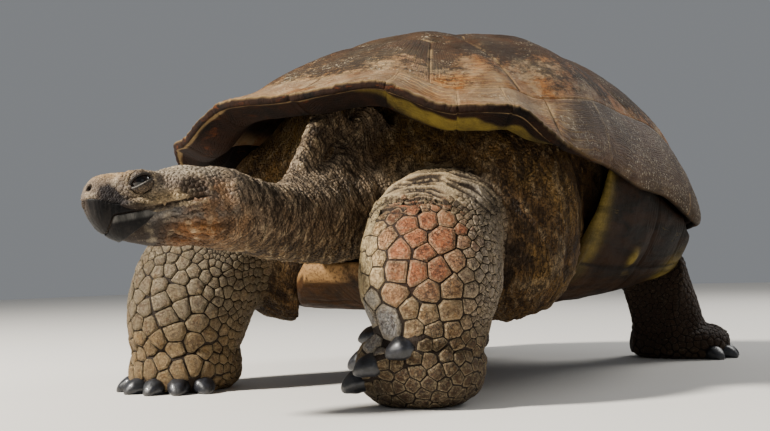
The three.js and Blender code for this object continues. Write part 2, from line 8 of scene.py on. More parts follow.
# %% Load the construction model
import math
import bpy
import numpy as np
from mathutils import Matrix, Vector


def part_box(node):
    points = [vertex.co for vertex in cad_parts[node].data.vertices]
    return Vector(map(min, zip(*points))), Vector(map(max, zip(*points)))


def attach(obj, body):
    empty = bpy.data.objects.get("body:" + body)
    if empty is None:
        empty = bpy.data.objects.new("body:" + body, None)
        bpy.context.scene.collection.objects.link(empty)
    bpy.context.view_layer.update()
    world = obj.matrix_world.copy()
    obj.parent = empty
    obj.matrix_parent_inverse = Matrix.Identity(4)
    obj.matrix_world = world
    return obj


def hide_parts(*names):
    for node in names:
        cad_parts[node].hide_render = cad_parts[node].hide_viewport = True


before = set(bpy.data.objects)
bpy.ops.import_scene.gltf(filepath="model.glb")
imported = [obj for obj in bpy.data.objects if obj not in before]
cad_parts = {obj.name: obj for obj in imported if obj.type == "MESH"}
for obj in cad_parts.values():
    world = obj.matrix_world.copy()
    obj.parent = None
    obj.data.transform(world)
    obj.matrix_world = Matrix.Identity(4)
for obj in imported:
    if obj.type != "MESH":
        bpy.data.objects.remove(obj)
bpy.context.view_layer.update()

import openvdb
from mathutils import Matrix, Vector
from mathutils.bvhtree import BVHTree
from mathutils.kdtree import KDTree

MM = 0.001
DEGREE = math.pi / 180
print("construction nodes:", len(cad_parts))

# %% [markdown]
# ## Where the animal stands
# All sizes below are in millimetres around the animal's own middle: it faces -Y and its left
# side is +X. The construction model is centred on its outline instead, so one small shift joins
# the two. It is read from the shell: the top plate lies across the midline, and the front of the
# rim has a known place.

# %% The animal's own frame
SHELL_LENGTH, SHELL_WIDTH, SHELL_MIDDLE_Y = 1050, 878, -38
APEX_Z, APEX_Y = 682, -31
top_low, top_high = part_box("vertebral_3")
rim_low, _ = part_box("marginals_front_left")
SHIFT = np.array([
    (top_low.x + top_high.x) / 2,
    rim_low.y - (SHELL_MIDDLE_Y - SHELL_LENGTH / 2) * MM,
    0,
])
print("shift of the animal in metres:", SHIFT.round(4))


def to_metres(points):
    return np.asarray(points, float) * MM + SHIFT


# %% [markdown]
# ## Small tools
# `graph` draws a smooth curve through a few pairs of numbers and works on whole arrays. Most
# shapes below are such curves: the height of the rim by bearing, the width of the neck along
# its length. `noise` is a smooth random field with a fixed seed, also for whole arrays. `smooth`
# steps softly between two limits, and `bell` is a hump around zero.

# %% Curves and noise
def graph(*pairs):
    xs, ys = np.array(pairs, float).T
    rise = np.r_[ys[1:], ys[-1]] - np.r_[ys[0], ys[:-1]]
    slope = rise / (np.r_[xs[1:], xs[-1]] - np.r_[xs[0], xs[:-1]])

    def curve(x):
        x = np.clip(x, xs[0], xs[-1])
        i = np.clip(np.searchsorted(xs, x, side="right") - 1, 0, len(xs) - 2)
        step = xs[i + 1] - xs[i]
        t = (x - xs[i]) / step
        return (
            ys[i] * (1 + 2 * t) * (1 - t) ** 2
            + slope[i] * step * t * (1 - t) ** 2
            + ys[i + 1] * t * t * (3 - 2 * t)
            + slope[i + 1] * step * t * t * (t - 1)
        )

    return curve


def smooth(x, low, high):
    t = np.clip((x - low) / (high - low), 0, 1)
    return t * t * (3 - 2 * t)


def bell(x):
    return np.exp(-(x**2))


def signed_power(x, power):
    return np.sign(x) * np.abs(x) ** power


# Large odd numbers scramble the bits of a place on the lattice.
SCRAMBLE_I, SCRAMBLE_J, SCRAMBLE_K, SCRAMBLE_SEED = 374761393, 668265263, 2147483647, 1274126177
LOW_32_BITS, LOW_16_BITS = 0xFFFFFFFF, 0xFFFF


def lattice(i, j, k, seed):
    mixed = (i * SCRAMBLE_I + j * SCRAMBLE_J + k * SCRAMBLE_K + seed * SCRAMBLE_SEED) & LOW_32_BITS
    mixed = ((mixed ^ (mixed >> 13)) * SCRAMBLE_SEED) & LOW_32_BITS
    return ((mixed ^ (mixed >> 16)) & LOW_16_BITS) / LOW_16_BITS * 2 - 1


def cell_corners(part):
    """The eight corners of a cell, each with its share in a place inside the cell."""
    for corner in range(8):
        step = np.array([corner & 1, corner >> 1 & 1, corner >> 2])
        yield step, np.prod(np.where(step, part, 1 - part), axis=-1)


def noise(points, seed=0):
    """Smooth noise from -1 to 1 with features about 1 unit across."""
    base = np.floor(points).astype(np.int64)
    f = points - base
    f = f * f * (3 - 2 * f)
    total = 0
    for step, share in cell_corners(f):
        total = total + share * lattice(*np.moveaxis(base + step, -1, 0), seed)
    return total


def layered(points, octaves=3, seed=0):
    """Noise with finer layers added, each half as strong."""
    return sum(noise(points * 2.1**n, seed + n) / 2**n for n in range(octaves))


def ridged(points, seed=0, sharpness=2):
    """Noise with sharp crests, from 0 to 1."""
    return (1 - np.abs(noise(points, seed))) ** sharpness


# %% [markdown]
# A mesh is made from arrays in one call. `attributes` are numbers kept on its points, which the
# materials read, so that colour follows the shape in every view.

# %% Mesh from arrays
def set_attributes(mesh, attributes):
    for key, values in attributes.items():
        values = np.asarray(values, np.float32)
        kind, target = ("FLOAT", "value") if values.ndim == 1 else ("FLOAT_VECTOR", "vector")
        mesh.attributes.new(key, kind, "POINT").data.foreach_set(target, values.reshape(-1))


def make_mesh(name, points, faces, attributes=None):
    """An object from points in metres and faces, as one array of quads or a list of any faces."""
    mesh = bpy.data.meshes.new(name)
    points = np.asarray(points, np.float32)
    if isinstance(faces, list):
        counts = np.array([len(face) for face in faces])
        corners = np.fromiter((c for face in faces for c in face), np.int64)
    else:
        counts = np.full(len(faces), faces.shape[1])
        corners = faces.reshape(-1)
    mesh.vertices.add(len(points))
    mesh.vertices.foreach_set("co", points.reshape(-1))
    mesh.loops.add(len(corners))
    mesh.loops.foreach_set("vertex_index", corners.astype(np.int32))
    mesh.polygons.add(len(counts))
    mesh.polygons.foreach_set("loop_start", np.r_[0, np.cumsum(counts)[:-1]].astype(np.int32))
    mesh.polygons.foreach_set("loop_total", counts.astype(np.int32))
    mesh.update(calc_edges=True)
    mesh.validate()
    set_attributes(mesh, attributes or {})
    mesh.shade_smooth()
    piece = bpy.data.objects.new(name, mesh)
    bpy.context.scene.collection.objects.link(piece)
    return piece


def triangle_count(piece):
    return sum(len(face.vertices) - 2 for face in piece.data.polygons)


def finish_piece(piece, material, nodes):
    """Gives a piece its material and its place in the construction model."""
    piece.data.materials.clear()
    piece.data.materials.append(material)
    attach(piece, "root")
    if nodes:
        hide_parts(*nodes)
    print(f"{piece.name}: {triangle_count(piece)} triangles")


# %% [markdown]
# ## The camera, the floor and the light
# The camera stands low and to the animal's front left, a little over two metres away. A strong
# key light stands on the animal's front right, a weak fill on its left and a light behind it,
# in a dim, pale surround.

# %% Camera
CAMERA_BEARING, CAMERA_DISTANCE, CAMERA_HEIGHT = 29.9, 2230, 211
CAMERA_YAW, CAMERA_PITCH, CAMERA_ROLL = 34.0, 3.0, -1.5
PICTURE_WIDTH, FOCAL_PIXELS, SENSOR = 770, 1058, 36


def look_direction(yaw, pitch):
    return Vector((
        -math.sin(yaw * DEGREE) * math.cos(pitch * DEGREE),
        math.cos(yaw * DEGREE) * math.cos(pitch * DEGREE),
        math.sin(pitch * DEGREE),
    ))


camera = bpy.data.objects.new("camera", bpy.data.cameras.new("camera"))
bpy.context.scene.collection.objects.link(camera)
camera.data.sensor_width = SENSOR
camera.data.lens = FOCAL_PIXELS / PICTURE_WIDTH * SENSOR
ahead = look_direction(CAMERA_YAW, CAMERA_PITCH)
level = ahead.cross(Vector((0, 0, 1))).normalized()
above = level.cross(ahead)
roll = CAMERA_ROLL * DEGREE
right = level * math.cos(roll) + above * math.sin(roll)
up = above * math.cos(roll) - level * math.sin(roll)
camera_place = Vector(to_metres([
    math.sin(CAMERA_BEARING * DEGREE) * CAMERA_DISTANCE,
    -math.cos(CAMERA_BEARING * DEGREE) * CAMERA_DISTANCE,
    CAMERA_HEIGHT,
]))
camera.matrix_world = Matrix.Translation(camera_place) @ Matrix((right, up, -ahead)).transposed().to_4x4()
bpy.context.scene.camera = camera
print("lens in mm:", round(camera.data.lens, 1))

# %% Light
def area_light(name, place, target, size, power, colour):
    light = bpy.data.objects.new(name, bpy.data.lights.new(name, "AREA"))
    light.data.shape = "DISK"
    light.data.size = size
    light.data.energy = power
    light.data.color = colour
    light.location = place
    light.rotation_euler = (Vector(target) - Vector(place)).to_track_quat("-Z", "Y").to_euler()
    bpy.context.scene.collection.objects.link(light)


area_light("key_light", (-2.4, -3.4, 3.6), (0, -0.2, 0.35), 0.7, 820, (1.0, 0.95, 0.86))
area_light("fill_light", (4.2, -2.2, 1.8), (0, 0, 0.3), 3.0, 12, (0.9, 0.95, 1.0))
area_light("back_light", (1.5, 3.8, 3.0), (0, 0, 0.4), 2.5, 120, (1.0, 0.98, 0.94))
world = bpy.data.worlds.new("studio")
world.use_nodes = True
world.node_tree.nodes["Background"].inputs["Color"].default_value = (0.86, 0.9, 0.95, 1)
world.node_tree.nodes["Background"].inputs["Strength"].default_value = 0.25
bpy.context.scene.world = world
print("lights: key, fill and back")

# %% [markdown]
# ## Writing materials as expressions
# A material is a graph of small nodes. Here each socket is wrapped in a `Value`, so that
# `wear * 0.5 + grain` adds the Math nodes by itself. Every other kind of node comes from one
# method, `node`, which takes its type, its settings and what goes into its sockets. Colours
# start as a blend, `two_tone`, and `layers` lays more colours over it, each by its own share.

# %% Shader expressions
class Value:
    """A number or colour inside a material."""

    def __init__(self, finish, socket):
        self.finish = finish
        self.socket = socket

    def math(self, operation, *others):
        return self.finish.node("ShaderNodeMath", {"operation": operation}, dict(enumerate((self, *others))))

    def __add__(self, other):
        return self.math("ADD", other)

    def __sub__(self, other):
        return self.math("SUBTRACT", other)

    def __mul__(self, other):
        return self.math("MULTIPLY", other)

    __radd__ = __add__
    __rmul__ = __mul__

    def __rsub__(self, other):
        return self.finish.node("ShaderNodeMath", {"operation": "SUBTRACT"}, {0: other, 1: self})

    def off_middle(self):
        """How far the value is from a half, which makes lines out of a noise or a saw."""
        return (self - 0.5).math("ABSOLUTE")

    def rise(self, low, high):
        """0 below low, 1 above high and smooth between. Turns over when high is the smaller."""
        settings = {"interpolation_type": "SMOOTHSTEP"}
        inputs = {"Value": self, "From Min": low, "From Max": high}
        return self.finish.node("ShaderNodeMapRange", settings, inputs)


class Finish:
    """A procedural material under construction."""

    def __init__(self, name):
        self.material = bpy.data.materials.new(name)
        self.material.use_nodes = True
        self.tree = self.material.node_tree
        self.shader = self.tree.nodes["Principled BSDF"]
        self.place = self.node("ShaderNodeTexCoord", output="Object")

    def feed(self, sockets, key, value):
        if isinstance(key, int):
            socket = sockets[key]
        else:
            socket = next(s for s in sockets if key in (s.identifier, s.name))
        if isinstance(value, Value):
            self.tree.links.new(value.socket, socket)
        else:
            socket.default_value = value

    def node(self, kind, settings=None, inputs=None, output=0):
        made = self.tree.nodes.new(kind)
        for key, value in (settings or {}).items():
            setattr(made, key, value)
        for key, value in (inputs or {}).items():
            self.feed(made.inputs, key, value)
        return Value(self, made.outputs[output])

    def mix(self, share, low, high, blend="MIX"):
        settings = {"data_type": "RGBA", "blend_type": blend}
        inputs = {"Factor_Float": share, "A_Color": low, "B_Color": high}
        return self.node("ShaderNodeMix", settings, inputs, output=2)

    def layers(self, colour, *layers):
        """Lays colours over a first one, each a pair of its share and its web code or Value."""
        for share, top in layers:
            colour = self.mix(share, colour, shade(top) if isinstance(top, str) else top)
        return colour

    def two_tone(self, share, low, high):
        return self.mix(share, shade(low), shade(high))

    def attribute(self, name, output=2):
        """A number kept on the points. Output 0 is its colour."""
        return self.node("ShaderNodeAttribute", {"attribute_name": name}, output=output)

    def noise(self, scale, detail=4, roughness=0.6, distortion=0, place=None):
        inputs = {"Vector": place or self.place, "Scale": scale, "Detail": detail}
        inputs |= {"Roughness": roughness, "Distortion": distortion}
        return self.node("ShaderNodeTexNoise", None, inputs)

    def cells(self, scale, feature="F1", randomness=1, place=None):
        inputs = {"Vector": place or self.place, "Scale": scale, "Randomness": randomness}
        return self.node("ShaderNodeTexVoronoi", {"feature": feature}, inputs)

    def stretched(self, scale, turn=(0, 0, 0)):
        """Object coordinates scaled along each axis, to draw a pattern out in one direction."""
        return self.node("ShaderNodeMapping", None, {"Vector": self.place, "Rotation": turn, "Scale": scale})

    def lines(self, lengths, turn, width, detail=3):
        """Thin wavy lines, drawn out along the longest of three lengths, then turned."""
        inputs = {"Vector": self.place, "Rotation": turn, "Scale": lengths}
        drawn = self.node("ShaderNodeMapping", {"vector_type": "TEXTURE"}, inputs)
        return self.noise(1, detail, 0.6, 0.5, place=drawn).off_middle().rise(width, 0)

    def bump(self, height, distance, below=None):
        inputs = {"Height": height, "Distance": distance, "Strength": 1}
        if below:
            inputs["Normal"] = below
        return self.node("ShaderNodeBump", None, inputs)

    def finished(self, colour, roughness, normal=None, **constants):
        self.feed(self.shader.inputs, "Base Color", colour)
        self.feed(self.shader.inputs, "Roughness", roughness)
        if normal:
            self.feed(self.shader.inputs, "Normal", normal)
        for key, value in constants.items():
            self.feed(self.shader.inputs, key.replace("_", " "), value)
        print("material", self.material.name, "has", len(self.tree.nodes), "nodes")
        return self.material


def shade(code):
    """A colour from its six-digit web code, in the linear numbers that materials use."""
    parts = [int(code[i : i + 2], 16) / 255 for i in (0, 2, 4)]
    return (*(p / 12.92 if p < 0.04 else ((p + 0.055) / 1.055) ** 2.4 for p in parts), 1)


# %% The floor
floor_finish = Finish("studio_floor")
floor_tone = floor_finish.noise(1.5, detail=2) * 0.03 + 0.5
floor_colour = floor_finish.two_tone(floor_tone, "d9d6d0", "e6e3de")
floor_material = floor_finish.finished(floor_colour, 0.7)
FLOOR_HALF = 9
corners = [(-FLOOR_HALF, -FLOOR_HALF, 0), (FLOOR_HALF, -FLOOR_HALF, 0)]
corners += [(FLOOR_HALF, FLOOR_HALF, 0), (-FLOOR_HALF, FLOOR_HALF, 0)]
floor = make_mesh("floor", corners, np.array([[0, 1, 2, 3]]))
floor.data.materials.append(floor_material)

# %% [markdown]
# ## The vault of the shell
# A place on the vault is a bearing, 0 at the front and a right angle on the left side, and a
# reach, from 0 at the top to 1 at the free edge. The same graphs drew the construction model,
# so every plate made here lies on it.

# %% The vault
PLATE_THICKNESS, RIM_THICKNESS, RIM_SWELL = 16, 15, 34
margin_squareness = graph((0, 2.8), (90, 3.9), (180, 2.2))
margin_height = graph(
    (0, 498), (14, 500), (28, 454), (40, 450), (50, 444), (60, 408),
    (72, 386), (84, 368), (100, 306), (120, 286), (150, 264), (180, 246),
)
edge_lean = graph((0, 58), (40, 64), (60, 80), (78, 96), (122, 98), (148, 84), (180, 74))
vault_power = graph((0, 1.28), (45, 1.48), (90, 1.25), (130, 1.7), (180, 1.25))
rim_flare = graph((0, 14), (50, 16), (80, 2), (115, 2), (145, 16), (180, 10))
free_rim = graph((0, 1), (55, 1), (78, 0.25), (112, 0.25), (140, 1), (180, 1))
marginal_reach = graph((0, 0.78), (45, 0.76), (90, 0.66), (135, 0.7), (180, 0.76))


def turn_of(bearing):
    return np.abs(np.degrees(np.arctan2(np.sin(bearing), np.cos(bearing))))


def vault_point(bearing, reach):
    turn = turn_of(bearing)
    power = 2 / margin_squareness(turn)
    full_lean = edge_lean(turn) * DEGREE
    lean = reach * full_lean
    out = np.sin(lean) / np.sin(np.minimum(full_lean, math.pi / 2))
    share = (np.cos(lean) - np.cos(full_lean)) / (1 - np.cos(full_lean))
    rise = signed_power(share, vault_power(turn))
    edge_x = SHELL_WIDTH / 2 * signed_power(np.sin(bearing), power)
    edge_y = SHELL_MIDDLE_Y - SHELL_LENGTH / 2 * signed_power(np.cos(bearing), power)
    edge_z = margin_height(turn)
    flare = rim_flare(turn) * smooth(reach, 0.7, 1) ** 2
    y = APEX_Y + (edge_y - APEX_Y) * out
    z = edge_z + (APEX_Z - edge_z) * rise + flare
    return np.stack([edge_x * out, y, z], axis=-1)


def unit(vectors):
    return vectors / np.maximum(np.linalg.norm(vectors, axis=-1, keepdims=True), 1e-9)


def vault_normal(bearing, reach, step=0.01):
    inner = np.maximum(reach, 0.02)
    along = vault_point(bearing, inner + step) - vault_point(bearing, inner - step)
    around = vault_point(bearing + step, inner) - vault_point(bearing - step, inner)
    return unit(np.cross(along, around))


def shell_thickness(bearing, reach):
    turn = turn_of(bearing)
    seam = marginal_reach(turn)
    swell = smooth(reach, seam - 0.08, seam + 0.1) * (1 - smooth(reach, seam + 0.1, 1))
    base = PLATE_THICKNESS + (RIM_THICKNESS - PLATE_THICKNESS) * smooth(reach, 0.8, 1)
    return base + RIM_SWELL * free_rim(turn) * swell


print("rim height at the front and side, in mm:", margin_height(0), margin_height(90))

# %% [markdown]
# ## The plan of the plates
# Plates are drawn on a flat chart of the vault, as [left, back] with the free edge at distance
# 1. A chart is a function of u and v, both from 0 to 1, that covers one plate.

# %% Charts of the plates
STATIONS = [
    0, 8, 16, 24, 31.5, 39, 46.5, 54, 63, 72, 81, 90,
    99, 108, 117, 126, 133.5, 141, 148.5, 156, 164, 172, 180,
]
TAIL_STATION = len(STATIONS) - 1
CORNERS = (3, 7, 11, 15, 19)
CROSS_SEAMS = (-0.4, -0.13, 0.14, 0.42)
MID_PLATES = (-0.27, 0, 0.28)
SEAM_HALF, PLATE_HALF = 0.15, 0.235
# The squarish outline runs very fast past the bearing of the side, so steps shrink there.
SIDE_STATION, SIDE_EASE = 11, 1.96
MARGINAL_SEAMS = (0, 2, 4, 6, 8, 10, 12, 14, 16, 18, 19.5, 21)


def bearing_at(station):
    size = np.abs(station)
    near = np.where(size > TAIL_STATION, 2 * TAIL_STATION - size, size)
    turn = np.interp(near, range(len(STATIONS)), STATIONS)
    return np.sign(station) * np.where(size > TAIL_STATION, 360 - turn, turn) * DEGREE


def at_station(station, share=0):
    bearing = bearing_at(station)
    seam = marginal_reach(turn_of(bearing))
    reach = seam + (1 - seam) * share
    return np.stack([reach * np.sin(bearing), -reach * np.cos(bearing)], axis=-1)


def blended(a, b, share):
    return a + (b - a) * share[..., None]


def along_chain(chain, share):
    knots = np.linspace(0, 1, len(chain))
    return np.stack([np.interp(share, knots, values) for values in np.array(chain).T], axis=-1)


def costal(side, first, last, chain):
    inner = np.array(chain) * (side, 1)

    def chart(u, v):
        if last == SIDE_STATION:
            u = np.where(u > 0.5, 1 - 0.5 * (2 - 2 * u) ** SIDE_EASE, u)
        if first == SIDE_STATION:
            u = np.where(u < 0.5, 0.5 * (2 * u) ** SIDE_EASE, u)
        return blended(along_chain(inner, u), at_station(side * (first + (last - first) * u)), v)

    return chart


def vertebral(chain):
    def chart(u, v):
        left, back = np.moveaxis(along_chain(chain, v), -1, 0)
        return np.stack([left * (2 * u - 1), back], axis=-1)

    return chart


def end_vertebral(first, last, cross_seam):
    def chart(u, v):
        inner = np.stack([SEAM_HALF * (2 * u - 1), np.full_like(u, cross_seam)], axis=-1)
        return blended(at_station(first + (last - first) * u), inner, v)

    return chart


waist = [(SEAM_HALF, back) for back in CROSS_SEAMS]
hips = [(PLATE_HALF, back) for back in MID_PLATES]
CHAINS = [
    [waist[0], hips[0]],
    [hips[0], waist[1], hips[1]],
    [hips[1], waist[2], hips[2]],
    [hips[2], waist[3]],
]

# %% [markdown]
# ## One plate of horn
# A plate grows at its edge, so its rings are copies of its outline around an old middle. The
# mesh has the same plan: rings of points around the middle, closer together near the seam. The
# edge dips into the seam and a wall and an inner face close the plate. Wear flattens the rings.

# %% A plate from rings
PLATE_SIDE_STEPS = 42
PLATE_RINGS = 50
RING_DEPTH, SEAM_DEPTH, SEAM_REACH = 1.1, 1.2, 4.0


def square_perimeter(steps):
    side = np.arange(steps) / steps
    zero, one = np.zeros(steps), np.ones(steps)
    us = np.concatenate([side, one, 1 - side, zero])
    vs = np.concatenate([zero, side, one, 1 - side])
    return us, vs


def on_vault(chart, u, v):
    left, back = np.moveaxis(chart(u, v), -1, 0)
    return np.arctan2(left, -back), np.hypot(left, back)


def edge_distance(chart, u, v):
    """Distance in millimetres to the nearest side of the plate."""
    step = 0.02
    distances = []
    for along_u in (True, False):
        value = u if along_u else v
        low, high = np.clip(value - step, 0, 1), np.clip(value + step, 0, 1)
        a = vault_point(*on_vault(chart, low if along_u else u, v if along_u else low))
        b = vault_point(*on_vault(chart, high if along_u else u, v if along_u else high))
        length = np.linalg.norm(b - a, axis=-1) / (high - low)
        distances += [value * length, (1 - value) * length]
    return np.min(distances, axis=0)


def turned_out(points, faces):
    """Faces as given, or all turned over when they point inwards."""
    triangles = faces[:, :3]
    a, b, c = (points[triangles[:, i]] for i in range(3))
    volume = np.einsum("ij,ij->i", a - points.mean(0), np.cross(b - a, c - a)).sum()
    return faces if volume > 0 else faces[:, ::-1]


def ring_faces(rows, columns, start=0):
    """Quads between rows of points that each close into a ring."""
    i = np.arange(rows - 1)[:, None] * columns
    j = np.arange(columns)[None]
    k = (j + 1) % columns
    return start + np.stack([i + j, i + k, i + columns + k, i + columns + j], axis=-1).reshape(-1, 4)


def ring_ridge(phase):
    """Height across a growth ring, from 0 in its groove to 1 on its crest."""
    return smooth(np.abs(phase % 1 - 0.5) * 2, 0, 0.8)


def sheet(chart, u, v):
    """Bearings, reaches, places and outward directions of points of a plate."""
    bearing, reach = on_vault(chart, u, v)
    return bearing, reach, vault_point(bearing, reach), vault_normal(bearing, reach)


def fan_capped(rows, top, bottom):
    """Points and faces of a stack of rings, closed at both ends by a fan around a point."""
    count, around = rows.shape[:2]
    points = np.concatenate([rows.reshape(-1, 3), [top, bottom]])
    body = turned_out(points, ring_faces(count, around))
    last = (count - 1) * around
    i, k = np.arange(around), (np.arange(around) + 1) % around
    top_fan = np.stack([np.full(around, len(points) - 2), k, i], axis=-1)
    bottom_fan = np.stack([np.full(around, len(points) - 1), last + i, last + k], axis=-1)
    if body[0, 0] != 0:
        top_fan, bottom_fan = top_fan[:, ::-1], bottom_fan[:, ::-1]
    return points, body.tolist() + top_fan.tolist() + bottom_fan.tolist()


def make_plate(name, chart, middle, rings, ringed, dome, slope, seed):
    side_u, side_v = square_perimeter(PLATE_SIDE_STEPS)
    around = len(side_u)
    fine = 1 - np.array([0.035, 0.024, 0.015, 0.008, 0.003, 0])
    shares = np.r_[np.linspace(0.012, 0.95, PLATE_RINGS), fine][:, None]
    u = middle[0] + shares * (side_u - middle[0])
    v = middle[1] + shares * (side_v - middle[1])
    _, _, base, normal = sheet(chart, u, v)
    edge = edge_distance(chart, u, v)
    warp = 0.45 * noise(base / 55, seed) + 0.12 * noise(base / 17, seed + 1)
    phase = shares * rings + warp
    kept = np.clip(ringed * (0.75 + 0.6 * noise(base / 90, seed + 2)), 0, 1.3)
    worn_rings = kept * (ring_ridge(phase) - 0.55) * smooth(edge, 2, 10)
    height = dome * (1 - shares**2) + slope * smooth(edge, 0, 45)
    uneven = 1.5 * layered(base / 75, 2, seed + 3) + 0.45 * layered(base / 9, 2, seed + 4)
    height = height + RING_DEPTH * worn_rings + uneven * smooth(edge, 0, 14)
    height = height - SEAM_DEPTH * (1 - smooth(edge, 0, SEAM_REACH))
    outer = base + normal * height[..., None]

    rim_bearing, rim_reach, rim, rim_normal = sheet(chart, *np.clip([u[-1], v[-1]], 0.0015, 0.9985))
    outer[-1] = rim - rim_normal * SEAM_DEPTH
    thickness = shell_thickness(rim_bearing, rim_reach)[:, None]
    wall = [rim - rim_normal * thickness * depth for depth in (0.5, 1)]
    inner_rows = []
    for share in (0.66, 0.33):
        inner_u = middle[0] + share * (side_u - middle[0])
        inner_v = middle[1] + share * (side_v - middle[1])
        _, _, inner, inner_normal = sheet(chart, inner_u, inner_v)
        inner_rows.append(inner - inner_normal * PLATE_THICKNESS)
    rows = np.concatenate([outer, np.array(wall), np.array(inner_rows)])
    points, faces = fan_capped(rows, outer[0].mean(0), inner_rows[-1].mean(0))

    def spread(values, closing, end):
        """Values of the outer rows, then 0 on the wall, then `closing` on the inner face."""
        rest = np.full((len(rows) - len(outer), around), closing, float)
        rest[: len(wall)] = 0
        values = np.broadcast_to(values, edge.shape)
        return np.r_[np.concatenate([values, rest]).reshape(-1), end, closing]

    attributes = {
        "ring": spread(phase, rings, 0),
        "edge": spread(edge, 0, 60),
        "ringed": spread(kept, 0, 0),
        "under": spread(np.zeros_like(edge), 1, 0),
    }
    # These three are only for the plates of the rim, but the finish reads them on every plate.
    attributes |= {key: spread(np.zeros_like(edge), 0, 0) for key in ("yellow", "lip", "low")}
    return make_mesh(name, to_metres(points), faces, attributes)


# %% [markdown]
# ## One plate of the rim
# A marginal plate wraps round the free edge: outer face, lip and underside are one closed
# section, swept along the plate. Its rings run along the rim and turn down at its ends.

# %% A marginal plate
MARGIN_STEPS = 30
MARGIN_ROWS, LIP_ROWS = 34, 7
# Under the left front of the rim a worn facet, dark with painted shade, runs along the lip, with
# yellow horn behind it.
FACET_DEPTH = graph((10, 2), (20, 8), (32, 18), (46, 28), (58, 16), (80, 6))
BAND_WIDTH = graph((8, 4), (16, 16), (34, 22), (50, 30), (80, 26))
LIP_WIDTH = graph((-90, 1), (-40, 3), (6, 2), (14, 0))
LIP_FADE = np.clip(0.8 - np.arange(LIP_ROWS) / 2, 0, 1)[:, None]


def margin_seam(distance, depth):
    return depth * (1 - smooth(distance, 0, SEAM_REACH))


